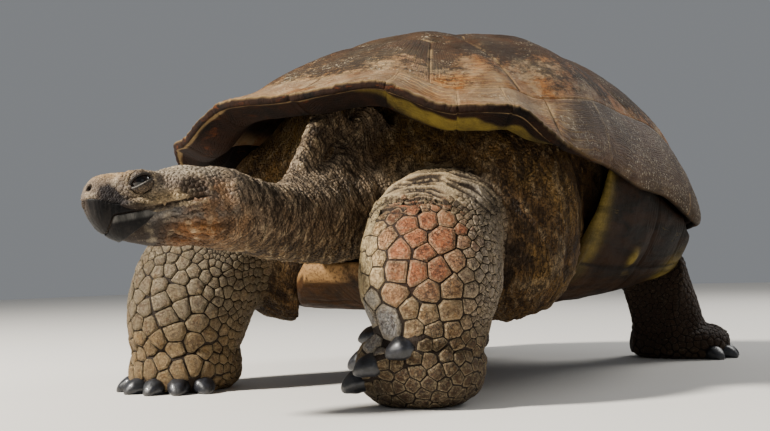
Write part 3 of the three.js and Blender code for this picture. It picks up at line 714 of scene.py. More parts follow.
def make_marginal(first, last, seed):
    """Points, faces and attributes of one marginal plate between two stations."""
    u = np.linspace(0, 1, MARGIN_STEPS + 1)
    u = u + 0.35 * np.sin(2 * math.pi * u) / (2 * math.pi) * -1
    down = np.linspace(0, 1, MARGIN_ROWS) ** 0.9
    share = down[:, None] * np.ones_like(u)
    station = first + (last - first) * u[None] * np.ones_like(share)
    bearing = bearing_at(station)
    seam = marginal_reach(turn_of(bearing))
    ends = vault_point(bearing_at(np.array([first, last + 0.0])), np.ones(2))
    low = smooth(turn_of(bearing), 52, 80)
    length = np.linalg.norm(ends[1] - ends[0])
    to_end = np.minimum(u, 1 - u)[None] * length
    scallop = 0.01 * (smooth(to_end / length, 0, 0.4) - 0.6)
    scallop = scallop * free_rim(turn_of(bearing)) * smooth(share, 0.4, 1)
    reach = seam + (1 - seam) * share + scallop
    base = vault_point(bearing, reach)
    normal = vault_normal(bearing, reach)
    depth_of_seam = np.linalg.norm(base - base[:1], axis=-1)
    edge = np.minimum(to_end, depth_of_seam)
    rings = depth_of_seam / 15 + 0.9 * (1 - smooth(to_end, 0, 34)) * smooth(share, 0, 0.6)
    phase = rings + 0.4 * noise(base / 60, seed) + 0.1 * noise(base / 15, seed + 1)
    kept = np.clip(0.35 + 0.6 * noise(base / 80, seed + 2), 0, 0.9) * smooth(edge, 2, 10)
    kept *= 0.3 + 0.7 * smooth(base[..., 2], 300, 420)
    rough = 0.4 + 1.3 * smooth(share, 0.55, 0.95) * (1 - smooth(turn_of(bearing), 80, 110))
    uneven = 1.6 * layered(base / 60, 2, seed + 3) + rough * layered(base / 7, 2, seed + 4)
    height = RING_DEPTH * kept * (ring_ridge(phase) - 0.6) + uneven * smooth(edge, 0, 14)
    height = height - margin_seam(edge, SEAM_DEPTH)
    thickness = shell_thickness(bearing, reach)
    worn = 2.2 * free_rim(turn_of(bearing)) * np.abs(noise(base / 26, seed + 5)) * smooth(share, 0.9, 1)
    outer = base + normal * height[..., None]
    under_height = 1.2 * layered(base / 50, 2, seed + 6) + margin_seam(to_end * np.ones_like(share), 1.6)
    inner = base - normal * (thickness - under_height)[..., None]
    inner[0] = base[0] - normal[0] * thickness[0][:, None]
    tip_out = unit(outer[-1] - outer[-4])
    half = (outer[-1] - inner[-1]) / 2
    middle = (outer[-1] + inner[-1]) / 2
    bulge = np.linalg.norm(half, axis=-1, keepdims=True) * 0.8 - worn[-1][:, None]
    lip = [
        middle + half * math.cos(angle) + tip_out * bulge * math.sin(angle)
        for angle in np.linspace(0, math.pi, LIP_ROWS + 2)[1:-1]
    ]
    rows = np.concatenate([outer, np.array(lip), inner[::-1]])
    rows[:, 0] += (rows[:, 1] - rows[:, 0]) * 0.03
    rows[:, -1] += (rows[:, -2] - rows[:, -1]) * 0.03
    columns = rows.shape[1]
    total = len(rows)
    index = np.arange(total * columns).reshape(total, columns)
    after = np.roll(index, -1, axis=0)
    quads = np.stack([index[:, :-1], after[:, :-1], after[:, 1:], index[:, 1:]], axis=-1).reshape(-1, 4)
    points = rows.reshape(-1, 3)
    straight = turned_out(points, quads)
    flipped = straight[0, 0] != quads[0, 0]
    faces = straight.tolist()
    for column, turned in ((0, flipped), (columns - 1, not flipped)):
        end = index[:, column]
        strip = [
            [end[i], end[total - 1 - i], end[total - 2 - i], end[i + 1]] for i in range(MARGIN_ROWS - 1)
        ]
        strip.append(list(end[MARGIN_ROWS - 1 : MARGIN_ROWS + LIP_ROWS + 1]))
        faces += [face if turned else face[::-1] for face in strip]
    lip_shape = np.ones((LIP_ROWS, columns))
    inwards = (depth_of_seam.max(0) - depth_of_seam)[::-1]
    turn = np.degrees(bearing) + 5 * noise(base / 50, seed + 8)
    wander = 5 * noise(base / 22, seed + 9)[::-1]
    band_start = FACET_DEPTH(turn)
    yellow = smooth(inwards + wander, band_start - 2, band_start + 3)
    band_end = band_start + BAND_WIDTH(turn)
    yellow *= 1 - smooth(inwards + wander, band_end - 5, band_end + 5)
    yellow *= smooth(turn, 6, 14) * (1 - smooth(turn, 66, 84))
    pale_lip = 1 - smooth(inwards + 0.5 * wander, LIP_WIDTH(turn), LIP_WIDTH(turn) + 3)
    attributes = {
        "ring": np.concatenate([phase, lip_shape * phase[-1], phase[::-1]]),
        "edge": np.concatenate([edge, lip_shape * edge[-1], (to_end * np.ones_like(share))[::-1]]),
        "ringed": np.concatenate([kept, lip_shape * 0.1, np.full_like(kept, 0.15)]),
        "under": np.concatenate([0.3 * smooth(share, 0.99, 1), lip_shape, 1 + 0 * inwards]),
        "yellow": np.concatenate([0 * edge, 0 * lip_shape, yellow]),
        "lip": np.concatenate([smooth(share, 0.97, 1), lip_shape * pale_lip[0] * LIP_FADE, pale_lip]),
        "low": np.concatenate([low, lip_shape * low[-1], low[::-1]]),
    }
    return points, faces, {key: values.reshape(-1) for key, values in attributes.items()}


def joined_mesh(name, parts):
    """One mesh from many (points in mm, faces, attributes)."""
    starts = np.cumsum([0] + [len(points) for points, _, _ in parts])
    points = np.concatenate([points for points, _, _ in parts])
    faces = [[start + i for i in face] for start, (_, some, _) in zip(starts, parts) for face in some]
    keys = parts[0][2].keys()
    attributes = {key: np.concatenate([values[key] for _, _, values in parts]) for key in keys}
    return make_mesh(name, to_metres(points), faces, attributes)


# %% [markdown]
# ## Horn
# Weathered horn is a dull brown with a warm ochre where it is worn and black lichen where rain
# lies on the top. The rings show as tan lines, because dust stays in them. Low on the sides the
# young horn is smooth and grey, and painted shade darkens it, most at the foot of the flank.
# Underneath it is painted near black as shade, and towards the lip it is pale olive yellow.

# %% The horn
def horn_finish(name, low_tone, warm_tone, lichen, seam_wear):
    """Horn of the shell. `lichen` is how dark the top is, `seam_wear` how pale the seams are."""
    horn = Finish(name)
    edge, ringed, under, low, yellow, lip, rings = map(
        horn.attribute, ("edge", "ringed", "under", "low", "yellow", "lip", "ring")
    )
    back, high = (
        horn.node("ShaderNodeSeparateXYZ", None, {"Vector": horn.place}, output=axis) for axis in (1, 2)
    )
    line = (rings + horn.noise(60, 3) * 0.5).math("FRACT").off_middle().rise(0.13, 0.0)
    streak = horn.noise(26, 6, 0.7, 0.6, place=horn.stretched((1, 1, 3.5)))
    grain = horn.noise(180, 4, 0.7)
    fleck = horn.noise(130, 6, 0.85, place=horn.stretched((1, 1, 3)))
    fine_ring = (rings * 3.3 + horn.noise(40, 5, 0.7) * 2.2).math("FRACT")
    fine_line = fine_ring.off_middle().rise(0.2, 0.0) * horn.noise(22, 3).rise(0.35, 0.6)
    patches = horn.noise(9, 5, 0.6, 0.4)
    speck = horn.noise(420, 2, 0.5)

    warm = (patches * 1.6 + streak * 0.9 - low * 0.35).rise(0.95, 1.55)
    # Low on the sides the horn takes a darker brown, partly its own tone and partly painted shade; the foot
    # of the flank is painted darker still, as shade.
    flank_tone_and_shade = horn.two_tone(patches.rise(0.35, 0.65), "3a2a1e", "564338")
    flank_foot_shade = horn.two_tone(streak, "1f150c", "4b3a1e")
    # Paler patches towards the front of the shell.
    paler_front = back.rise(0.02, -0.2) * horn.noise(12, 5, 0.65).rise(0.36, 0.6)
    dust = (horn.noise(16, 5, 0.7, 0.4) + fleck * 0.4).rise(0.68, 0.84)
    tan = line * ringed * (patches.rise(0.25, 0.6) * 0.6 + 0.3) * (1 - low * 0.8)
    spots = horn.noise(75, 6, 0.8) + horn.noise(14, 3) * 0.75
    spots = spots + high.rise(0.36, 0.66) * lichen + back.rise(-0.15, 0.35) * 0.28 - 0.05
    crust = spots.rise(1.26, 1.5)
    pale_lichen = (horn.noise(95, 4, 0.7) + horn.noise(18, 3) * 0.5).rise(0.98, 1.1)
    flaking = horn.noise(210, 3, 0.7).rise(0.56, 0.64) * (horn.noise(15, 3) + low * 0.12).rise(0.5, 0.66)
    beside_seam = edge.rise(7, 1.5) * (horn.noise(24, 4) + grain * 0.4).rise(0.6, 0.85)
    upper_side = horn.layers(
        horn.two_tone(warm, low_tone, warm_tone),
        (low * 0.85, flank_tone_and_shade),
        (high.rise(0.42, 0.3) * low * 0.75, flank_foot_shade),
        (streak.rise(0.48, 0.68) * 0.7, "33221a"),
        (grain.rise(0.52, 0.75) * (0.5 - low * 0.3), "a9834f"),
        (fine_line * (0.45 - low * 0.35), "2a1b12"),
        (paler_front * (0.5 - low * 0.4), "937f66"),
        (fleck.rise(0.52, 0.64) * (0.7 - low * 0.4), "32231a"),
        (dust * (0.5 - low * 0.4), "a89474"),
        (tan, "c09c66"),
        (crust * 0.85, "1d1917"),
        (pale_lichen * 0.5, "a99f8c"),
        (flaking * 0.8, "b8ab92"),
        (beside_seam * seam_wear, "b89a6e"),
        (edge.rise(1.2, 0.2) * 0.35, "2c2019"),
    )

    stains = horn.noise(20, 5, 0.6, place=horn.stretched((1, 1, 0.4))).rise(0.35, 0.7)
    # Underneath, the horn is painted near black as shade, with its streaks, the yellow band and the pale lip
    # laid over it.
    underside_tone_and_shade = horn.layers(
        horn.two_tone(stains, "241207", "090503"),
        (streak.rise(0.57, 0.72) * 0.6, "6a350f"),
        (grain.rise(0.5, 0.7) * 0.12, "4f3a24"),
        (yellow * (0.6 + grain * 0.5), horn.two_tone(stains, "7f6d2c", "43371a")),
        (lip * (0.35 + grain) * (1 - low * 0.8), "8c7450"),
    )
    colour = horn.mix(under.rise(0.1, 0.7), upper_side, underside_tone_and_shade)

    rough = 0.58 + grain * 0.18 + crust * 0.1 + under * 0.2
    relief = line * ringed * -0.35 + streak * 0.5 + grain * 0.8 + crust * 0.5 - fine_line * 0.5 + fleck * 0.6
    normal = horn.bump(relief + speck * 0.12, 0.0026)
    return horn.finished(colour, rough, normal, Specular_IOR_Level=0.17)


plate_horn = horn_finish("plate_horn", "5d3f26", "a5672a", 0.78, 0.45)
rim_horn = horn_finish("rim_horn", "513722", "8a5a2c", 0.5, 0.6)

# %% [markdown]
# ## Thirteen large plates and twenty-three small ones
# Five vertebral plates run down the back, four costal plates lie on each side, and the rim has
# eleven marginal plates a side with one more over the tail. This species has no small plate at
# the front of the neck, so the first two marginals meet on the midline.

# %% Make the carapace
VERTEBRALS = [
    (end_vertebral(-CORNERS[0], CORNERS[0], CROSS_SEAMS[0]), (0.5, 0.72), 12, 1.25, 1),
    (vertebral([waist[0], hips[0], waist[1]]), (0.5, 0.5), 9, 0.6, 7),
    (vertebral([waist[1], hips[1], waist[2]]), (0.5, 0.5), 9, 0.45, 7),
    (vertebral([waist[2], hips[2], waist[3]]), (0.5, 0.5), 10, 0.6, 8),
    (end_vertebral(2 * TAIL_STATION - CORNERS[4], CORNERS[4], CROSS_SEAMS[3]), (0.5, 0.6), 12, 0.8, 6),
]
for i, (chart, middle, rings, ringed, dome) in enumerate(VERTEBRALS, 1):
    plate = make_plate(f"vertebral_plate_{i}", chart, middle, rings, ringed, dome, 3, 10 * i)
    finish_piece(plate, plate_horn, [f"vertebral_{i}"])
for side_name, side in (("left", 1), ("right", -1)):
    for i, chain in enumerate(CHAINS, 1):
        chart = costal(side, CORNERS[i - 1], CORNERS[i], chain)
        strength = (0.8, 0.5, 0.5, 0.7)[i - 1]
        name = f"costal_plate_{side_name}_{i}"
        plate = make_plate(name, chart, (0.5, 0.36), 14, strength, 6, 3, 200 * i + side)
        finish_piece(plate, plate_horn, [f"costal_{side_name}_{i}"])
    seams = list(zip(MARGINAL_SEAMS, MARGINAL_SEAMS[1:]))
    plates = [make_marginal(side * a, side * b, 900 + 7 * n + side) for n, (a, b) in enumerate(seams)]
    rim = joined_mesh(f"marginal_plates_{side_name}", plates)
    groups = [f"marginals_{group}_{side_name}" for group in ("front", "side", "rear")]
    finish_piece(rim, rim_horn, groups)
tail_plate = joined_mesh("marginal_plate_tail", [make_marginal(TAIL_STATION - 1, TAIL_STATION + 1, 870)])
finish_piece(tail_plate, rim_horn, ["marginal_tail"])

# %% [markdown]
# ## Flesh as a distance field
# Flesh has no edges: a leg runs into the shoulder and the neck into the chest. So each mass is
# described by a distance, negative inside, and the masses are joined with a soft minimum that
# fills the crease between them. One mesh is then drawn where the distance is zero.

# %% Distances
COAT_DEPTH = 3.0
BODY_SHAPES = [
    ((0, -5, 378), (368, 385, 236), 2.7),
    ((6, -325, 362), (205, 112, 124), 2.2),
    ((225, -268, 298), (150, 142, 182), 2.3),
    ((-225, -268, 298), (150, 142, 182), 2.3),
    ((212, 297, 268), (118, 109, 97), 2.2),
    ((-212, 297, 268), (118, 109, 97), 2.2),
]


def soft_join(a, b, width):
    overlap = np.maximum(width - np.abs(a - b), 0) / width
    return np.minimum(a, b) - overlap * overlap * width / 4


def ellipsoid_distance(points, centre, semi, squareness=2.0):
    offset = points - np.array(centre, np.float32)
    scaled = np.abs(offset) / np.array(semi, np.float32)
    radius = np.sum(scaled**squareness, axis=-1) ** (1 / squareness)
    return np.linalg.norm(offset, axis=-1) * (1 - 1 / np.maximum(radius, 0.05))


def section_distance(side, up, half_width, half_height, squareness):
    """Distance to the wall of a squarish section, negative inside."""
    n = squareness
    radius = ((np.abs(side) / half_width) ** n + (np.abs(up) / half_height) ** n) ** (1 / n)
    return np.hypot(side, up) * (1 - 1 / np.maximum(radius, 0.05))


def smooth_curve(spine, count):
    """Evenly spaced points on a centripetal curve through the spine."""
    p = np.array(spine, float)
    p = np.vstack([2 * p[0] - p[1], p, 2 * p[-1] - p[-2]])
    pieces = []
    for a, b, c, d in zip(p, p[1:], p[2:], p[3:]):
        tb = np.linalg.norm(b - a) ** 0.5
        tc = tb + np.linalg.norm(c - b) ** 0.5
        td = tc + np.linalg.norm(d - c) ** 0.5
        t = np.linspace(tb, tc, 24, endpoint=False)[:, None]
        ab = (a * (tb - t) + b * t) / tb
        bc = (b * (tc - t) + c * (t - tb)) / (tc - tb)
        cd = (c * (td - t) + d * (t - tc)) / (td - tc)
        abc = (ab * (tc - t) + bc * t) / tc
        bcd = (bc * (td - t) + cd * (t - tb)) / (td - tb)
        pieces.append((abc * (tc - t) + bcd * (t - tb)) / (tc - tb))
    fine = np.vstack([*pieces, p[-2:-1]])
    run = np.r_[0, np.cumsum(np.linalg.norm(np.diff(fine, axis=0), axis=1))]
    even = np.linspace(0, run[-1], count)
    return np.stack([np.interp(even, run, fine[:, i]) for i in range(3)], axis=-1), run[-1]


class Limb:
    """A rounded body along a curve. Sections are (share, half width, half depth)."""

    def __init__(self, spine, across, sections, squareness=2.3, thinner=0.0, count=22):
        self.knots, self.length = smooth_curve(spine, count)
        shares, widths, depths = np.array(sections, float).T
        self.width = graph(*zip(shares, widths - thinner))
        self.depth = graph(*zip(shares, depths - thinner))
        self.squareness = squareness
        self.tangents = unit(np.gradient(self.knots, axis=0))
        side = np.array(across) - self.tangents * (self.tangents @ np.array(across))[:, None]
        self.sides = unit(side)
        self.ups = np.cross(self.sides, self.tangents)

    def place(self, points):
        """Share along the curve, offsets to the side and up, and how far past the ends."""
        nearest = np.full(points.shape[:-1], 1e9, np.float32)
        where = np.zeros_like(nearest)
        for i in range(len(self.knots) - 1):
            start = self.knots[i].astype(np.float32)
            step = (self.knots[i + 1] - self.knots[i]).astype(np.float32)
            offset = points - start
            t = np.clip(offset @ step / (step @ step), 0, 1)
            gap = offset - t[..., None] * step
            square = np.einsum("...i,...i->...", gap, gap)
            closer = square < nearest
            nearest = np.where(closer, square, nearest)
            where = np.where(closer, i + t, where)
        low = np.minimum(where.astype(int), len(self.knots) - 2)
        part = (where - low)[..., None]

        def between(values):
            return values[low] * (1 - part) + values[low + 1] * part

        offset = points - between(self.knots)
        side, up, past = (
            np.einsum("...i,...i->...", offset, between(axis))
            for axis in (self.sides, self.ups, self.tangents)
        )
        return where / (len(self.knots) - 1), side, up, past

    def distance(self, points):
        share, side, up, past = self.place(points)
        wall = section_distance(side, up, self.width(share), self.depth(share), self.squareness)
        beyond = np.where((share < 1e-4) | (share > 1 - 1e-4), np.abs(past), 0)
        return np.where(wall > 0, np.hypot(wall, beyond), np.maximum(wall, beyond - 2))


# %% Legs, neck and tail
HIND_SECTION = [(0, 96, 100), (0.4, 84, 88), (0.6, 76, 80), (0.8, 78, 82), (1, 86, 84)]
# For each leg: its spine, the direction across it, its sections, and the foot's middle and size.
LEG_SHAPES = {
    "front_left": (
        [
            (170, -235, 320), (196, -375, 296), (213, -462, 252),
            (226, -496, 188), (232, -508, 112), (220, -512, 40),
        ],
        (0.83, 0.56, 0),
        [(0, 92, 90), (0.35, 104, 96), (0.55, 115, 108), (0.7, 115, 106), (0.84, 92, 88), (1, 84, 80)],
        ((214, -514, 60), (104, 92, 72)),
    ),
    "front_right": (
        [(-180, -235, 320), (-272, -360, 282), (-318, -440, 214), (-326, -474, 140), (-328, -480, 30)],
        (0.83, 0.56, 0),
        [(0, 92, 92), (0.35, 104, 98), (0.55, 118, 108), (0.75, 116, 106), (0.9, 104, 98), (1, 96, 92)],
        ((-328, -484, 34), (102, 100, 50)),
    ),
    "hind_left": (
        [(200, 258, 290), (260, 350, 222), (280, 396, 148), (288, 420, 84), (290, 428, 20)],
        (0.83, 0.56, 0),
        HIND_SECTION,
        ((310, 440, 34), (110, 84, 52)),
    ),
    "hind_right": (
        [(-200, 258, 290), (-254, 348, 222), (-268, 394, 148), (-272, 414, 84), (-274, 420, 20)],
        (0.9, -0.44, 0),
        HIND_SECTION,
        ((-282, 416, 34), (90, 104, 52)),
    ),
}
LEGS = {
    name: Limb(spine, across, sections, thinner=COAT_DEPTH)
    for name, (spine, across, sections, _) in LEG_SHAPES.items()
}
NECK = Limb(
    [(8, -290, 350), (14, -420, 318), (20, -540, 294), (28, -650, 294), (24, -775, 314)],
    (1, 0, 0),
    [(0, 128, 118), (0.3, 92, 88), (0.6, 62, 64), (1, 55, 59)],
    squareness=2.2,
    thinner=1.5,
)
TAIL = Limb(
    [(0, 310, 280), (0, 390, 248), (-6, 440, 200), (-12, 452, 158)],
    (1, 0, 0),
    [(0, 62, 62), (0.5, 40, 40), (0.8, 24, 24), (1, 12, 12)],
    squareness=2.2,
    thinner=1.5,
)
# Two straps of loose skin rise from the neck to the underside of the shell.
STRAPS = [
    Limb(
        [(12, -566, 312), (14, -556, 352), (14, -536, 400), (14, -508, 440), (16, -470, 478)],
        (0, 1, 0.4),
        [(0, 60, 34), (0.25, 36, 24), (0.5, 25, 17), (0.8, 30, 22), (1, 46, 34)],
        squareness=2,
        count=10,
    ),
    Limb(
        [(38, -536, 310), (36, -504, 352), (40, -466, 396), (46, -436, 436), (52, -404, 470)],
        (0, 1, 0.6),
        [(0, 62, 40), (0.25, 34, 24), (0.5, 24, 18), (0.8, 32, 24), (1, 50, 40)],
        squareness=2,
        count=10,
    ),
]
print("neck length in mm:", round(NECK.length))

# %% [markdown]
# ## The skull
# The head has a frame of its own: share runs from the snout to the nape, then side and height.
# Three graphs give its top, bottom and half width. Brows, eye sockets, temples and jaw muscles
# are added as small masses.

# %% The skull
HEAD_LENGTH, HEAD_YAW, HEAD_PITCH = 220, 33, 3
SNOUT_START = 0.018
NAPE = np.array([26, -742, 320])
EYE = (0.375, 40, 33)
EYE_RADIUS = 15
UNDER_SCALES = 1.5
# For each pair of masses: its place in the head, its size, and how softly it joins.
HEAD_MASSES = {
    "brow": ((0.37, 31, 42), (30, 12, 9), 12),
    "orbit": ((0.375, 36, 32), (21, 14, 16), 7),
    "cheek": ((0.5, 45, 2), (62, 9, 8), 12),
    "jaw_muscle": ((0.84, 44, -22), (46, 18, 30), 16),
}
head_top = graph(
    (0, 39), (0.06, 45), (0.12, 50), (0.2, 53), (0.33, 53), (0.46, 51), (0.66, 60), (0.84, 55), (1, 46),
)
head_bottom = graph(
    (0, -6), (0.06, -20), (0.13, -34), (0.2, -44), (0.31, -53), (0.46, -59), (0.8, -61), (1, -62),
)
head_half = graph(
    (0, 18), (0.06, 27), (0.2, 37), (0.38, 46), (0.55, 54), (0.72, 61), (0.88, 58), (1, 54),
)
HEAD_TURN = np.array(
    Matrix.Rotation(-HEAD_YAW * DEGREE, 3, "Z") @ Matrix.Rotation(HEAD_PITCH * DEGREE, 3, "X")
)


def in_head(share, side, height):
    back = -HEAD_LENGTH * (1 - np.asarray(share, float))
    local = np.stack(np.broadcast_arrays(side, back, height), axis=-1)
    return local @ HEAD_TURN.T + NAPE


def head_place(points):
    side, back, height = np.moveaxis((points - NAPE) @ HEAD_TURN, -1, 0)
    return 1 + back / HEAD_LENGTH, side, height


def skull_distance(points, thinner=0.0):
    share, side, height = head_place(points)
    inside = np.clip(share, SNOUT_START, 1.12)
    past = (share - inside) * HEAD_LENGTH
    snout = np.sqrt(np.maximum(1 - (1 - np.minimum((inside - SNOUT_START) / 0.1, 1)) ** 2.4, 0.004))
    nape = np.sqrt(np.maximum(1 - np.maximum(1 - (1.12 - inside) / 0.112, 0) ** 2, 0.004))
    top, bottom = head_top(inside), head_bottom(inside)
    half_width = np.maximum(head_half(inside) - thinner, 4) * snout * nape
    half_height = np.maximum((top - bottom) / 2 - thinner, 4) * snout * nape
    up = height - (top + bottom) / 2
    wall = section_distance(side, up, half_width, half_height, 2.22)
    return np.where(past == 0, wall, np.hypot(np.maximum(wall, 0), past))


def head_mass(points, share, side, height, semi):
    """Distance to a pair of ellipsoids in the head. Their sizes are along, across and up."""
    here, across, up = head_place(points)
    local = np.stack([(here - share) * HEAD_LENGTH, np.abs(across) - side, up - height], axis=-1)
    return ellipsoid_distance(local, (0, 0, 0), semi)


def head_distance(points):
    flesh = skull_distance(points, UNDER_SCALES)
    for place, semi, softness in HEAD_MASSES.values():
        flesh = soft_join(flesh, head_mass(points, *place, semi), softness)
    socket = head_mass(points, *EYE, (EYE_RADIUS + 1,) * 3)
    return np.maximum(flesh, -socket)


# %% [markdown]
# ## Claws and toes
# Each claw has a place, a direction and a back. The left fore foot is rolled onto its outer
# edge, so its toes point across the body; the other feet stand flat and spread theirs in a fan.

# %% Claws
CLAW_LENGTH, CLAW_HALF_WIDTH, CLAW_HALF_DEPTH, CLAW_DROOP = 52, 20, 17, 8
ROLLED_TOES = [
    ((236, -600, 94), (-0.66, -0.72, -0.15)),
    ((186, -614, 68), (-0.68, -0.7, -0.15)),
    ((146, -592, 40), (-0.72, -0.64, -0.2)),
    ((152, -550, 108), (-0.85, -0.5, 0.1)),
    ((108, -524, 66), (-0.93, -0.35, -0.1)),
]


def claw_fan(centre, middle, reach, count, spread):
    claws = []
    for i in range(count):
        fan = Matrix.Rotation(spread * (i / (count - 1) - 0.5) * DEGREE, 3, "Z")
        out = np.array(fan @ Vector(middle).normalized())
        claws.append((np.array(centre) + out * reach, out, (0, 0, 1)))
    return claws


CLAWS = {
    "front_left": [(np.array(at), unit(np.array(out)), (0.45, -0.35, 0.8)) for at, out in ROLLED_TOES],
    "front_right": claw_fan((-328, -484, 18), (0.2, -1, -0.06), 102, 5, 104),
    "hind_left": claw_fan((310, 440, 18), (1, 0.25, -0.06), 104, 4, 84),
    "hind_right": claw_fan((-282, 416, 18), (-0.2, -1, -0.06), 100, 4, 84),
}


def leg_distance(points, name):
    centre, semi = LEG_SHAPES[name][3]
    flesh = LEGS[name].distance(points)
    foot = ellipsoid_distance(points, centre, np.array(semi) - COAT_DEPTH, 2.3)
    flesh = soft_join(flesh, foot, 16)
    for at, out, _ in CLAWS[name]:
        toe = ellipsoid_distance(points, at - out * 27, (25, 25, 21))
        flesh = soft_join(flesh, toe, 10)
    return flesh


# %% [markdown]
# ## The belly plate
# The plastron is a slab whose height goes by its keel along the middle and by the bridges that
# rise at its sides. The flesh stops above it.

# %% The plastron's graphs
PLASTRON_OUTLINE = np.array([
    (-452, 62), (-415, 112), (-310, 190), (-235, 300), (-206, 385), (-172, 415),
    (20, 416), (215, 408), (300, 392), (345, 345), (372, 235), (408, 95),
], float)
PLASTRON_FRONT, PLASTRON_BACK, PLASTRON_WIDEST = -452, 408, 416
plastron_keel = graph((-452, 196), (-370, 152), (-200, 134), (120, 138), (405, 172))
bridge_profile = graph(
    (0, 0), (180, 5), (270, 20), (322, 42), (365, 92), (394, 150), (408, 200), (416, 240),
)
bridge_height = graph((-206, 1.1), (20, 0.92), (215, 0.8), (345, 0.72))
plastron_thickness = graph((-452, 40), (-370, 30), (-230, 18), (405, 18))


def plastron_half(y):
    return np.interp(y, PLASTRON_OUTLINE[:, 0], PLASTRON_OUTLINE[:, 1])


def plastron_bottom(x, y):
    return plastron_keel(y) + bridge_height(y) * bridge_profile(np.abs(x))


def bridge_slope(y, away):
    return bridge_height(y) * (bridge_profile(away + 5) - bridge_profile(away - 5)) / 10


def keep_clear(distance, points):
    """Cuts the flesh back from the belly plate, the vault and the floor."""
    x, y, z = np.moveaxis(points, -1, 0)
    from_ends = np.minimum(y - PLASTRON_FRONT, PLASTRON_BACK - y)
    over = np.minimum(plastron_half(y) - np.abs(x), from_ends) + 3
    slope = bridge_slope(y, np.abs(x))
    top = plastron_bottom(x, y) + (plastron_thickness(y) + 3) * np.hypot(1, slope)
    below = (top - z) / np.hypot(1, slope)
    distance = np.maximum(distance, np.minimum(over, below))
    turns = np.linspace(-math.pi, math.pi, 721)
    edge = vault_point(turns, np.ones_like(turns))
    seen = np.arctan2(edge[:, 0], -(edge[:, 1] - APEX_Y))
    bearing = np.interp(np.arctan2(x, -(y - APEX_Y)), seen, turns)
    full_lean = edge_lean(turn_of(bearing)) * DEGREE
    size = np.interp(bearing, turns, np.hypot(edge[:, 0], edge[:, 1] - APEX_Y))
    out = np.hypot(x, y - APEX_Y) / size
    lean = np.arcsin(np.clip(out * np.sin(np.minimum(full_lean, math.pi / 2)), 0, 1))
    reach = np.clip(lean / full_lean, 0, 1)
    roof = vault_point(bearing, reach)[..., 2]
    tilt = np.maximum(np.abs(vault_normal(bearing, reach)[..., 2]), 0.25)
    wall = (z - roof) * tilt + shell_thickness(bearing, reach) + 6
    distance = np.maximum(distance, np.where((out < 0.985) & (reach < 0.985), wall, -99))
    return np.maximum(distance, 0.8 - z)


# %% [markdown]
# ## One skin
# The field is worked out on a grid of small cubes, each mass only near itself, and OpenVDB
# draws a mesh of quads where it is zero. The mesh is split finer on the head, neck, chest and
# left knee, because their folds are small, and thinned most where the shell hides it.

# %% Fill the grid
CELL = 5.0
FIELD_LOW = np.array([-445.0, -945.0, -6.0])
FIELD_SIZE = np.array([890, 1420, 620])
field_shape = tuple((FIELD_SIZE / CELL).astype(int) + 1)
FAR_AWAY = 60.0
field = np.full(field_shape, FAR_AWAY, np.float32)


def grid_points(low, high):
    axes = [np.arange(a, b) * CELL + start for a, b, start in zip(low, high, FIELD_LOW)]
    return np.stack(np.meshgrid(*axes, indexing="ij"), axis=-1).astype(np.float32)


def add_mass(distance, low, high, softness):
    """Joins a mass to the field inside a box given in millimetres."""
    first = np.maximum(np.floor((np.array(low) - FIELD_LOW) / CELL).astype(int), 0)
    last = np.minimum(np.ceil((np.array(high) - FIELD_LOW) / CELL).astype(int), field_shape)
    part = tuple(slice(a, b) for a, b in zip(first, last))
    values = distance(grid_points(first, last)).astype(np.float32)
    field[part] = soft_join(field[part], values, softness)


MARGIN = 45
for centre, semi, squareness in BODY_SHAPES:
    low, high = np.array(centre) - semi - MARGIN, np.array(centre) + semi + MARGIN
    add_mass(lambda p: ellipsoid_distance(p, centre, np.array(semi) - 2, squareness), low, high, 30)


def limb_box(limb, widest):
    return limb.knots.min(0) - widest - MARGIN, limb.knots.max(0) + widest + MARGIN


add_mass(NECK.distance, *limb_box(NECK, 110), 42)
add_mass(TAIL.distance, *limb_box(TAIL, 60), 30)
for strap in STRAPS:
    add_mass(strap.distance, *limb_box(strap, 60), 30)
add_mass(head_distance, NAPE - (230, 240, 110), NAPE + (120, 90, 110), 18)
LEG_SOFTNESS = {"front_left": 14, "front_right": 18, "hind_left": 22, "hind_right": 22}
for name, softness in LEG_SOFTNESS.items():
    low, high = limb_box(LEGS[name], 118)
    low[2] = FIELD_LOW[2]
    add_mass(lambda p: leg_distance(p, name), low, high, softness)
band = field < 40
field[band] = keep_clear(field[band], grid_points((0, 0, 0), field_shape)[band])
print("grid cells:", field.size, "near the skin:", int(band.sum()))


# %% Read the field between its cells
def field_at(points):
    place = np.clip((points - FIELD_LOW) / CELL, 0, np.array(field_shape) - 1.001)
    low = place.astype(int)
    part = place - low
    total = 0
    for step, share in cell_corners(part):
        total = total + share * field[tuple(np.moveaxis(low + step, -1, 0))]
    return total


def field_slope(points):
    slope = []
    for axis in np.eye(3) * CELL * 0.8:
        slope.append(field_at(points + axis) - field_at(points - axis))
    return np.stack(slope, axis=-1)


def onto_skin(points, rounds=2):
    for _ in range(rounds):
        points = points - unit(field_slope(points)) * field_at(points)[:, None] * 0.9
    return points


# %% Draw the mesh and split it finer
def drawn_mesh(field, outside, cell, low):
    """Points in millimetres and quads where a field is zero."""
    grid = openvdb.FloatGrid(outside)
    grid.copyFromArray(field)
    points, quads = grid.convertToQuads(isovalue=0.0)[:2]
    return points.astype(float) * cell + low, quads.astype(np.int64)


def edge_keys(quads, count):
    """One number for each side of each quad, the same from both of its faces."""
    edges = np.stack([quads, np.roll(quads, -1, axis=1)], axis=-1)
    keys = np.sort(edges.reshape(-1, 2), axis=1)
    return keys[:, 0] * count + keys[:, 1]


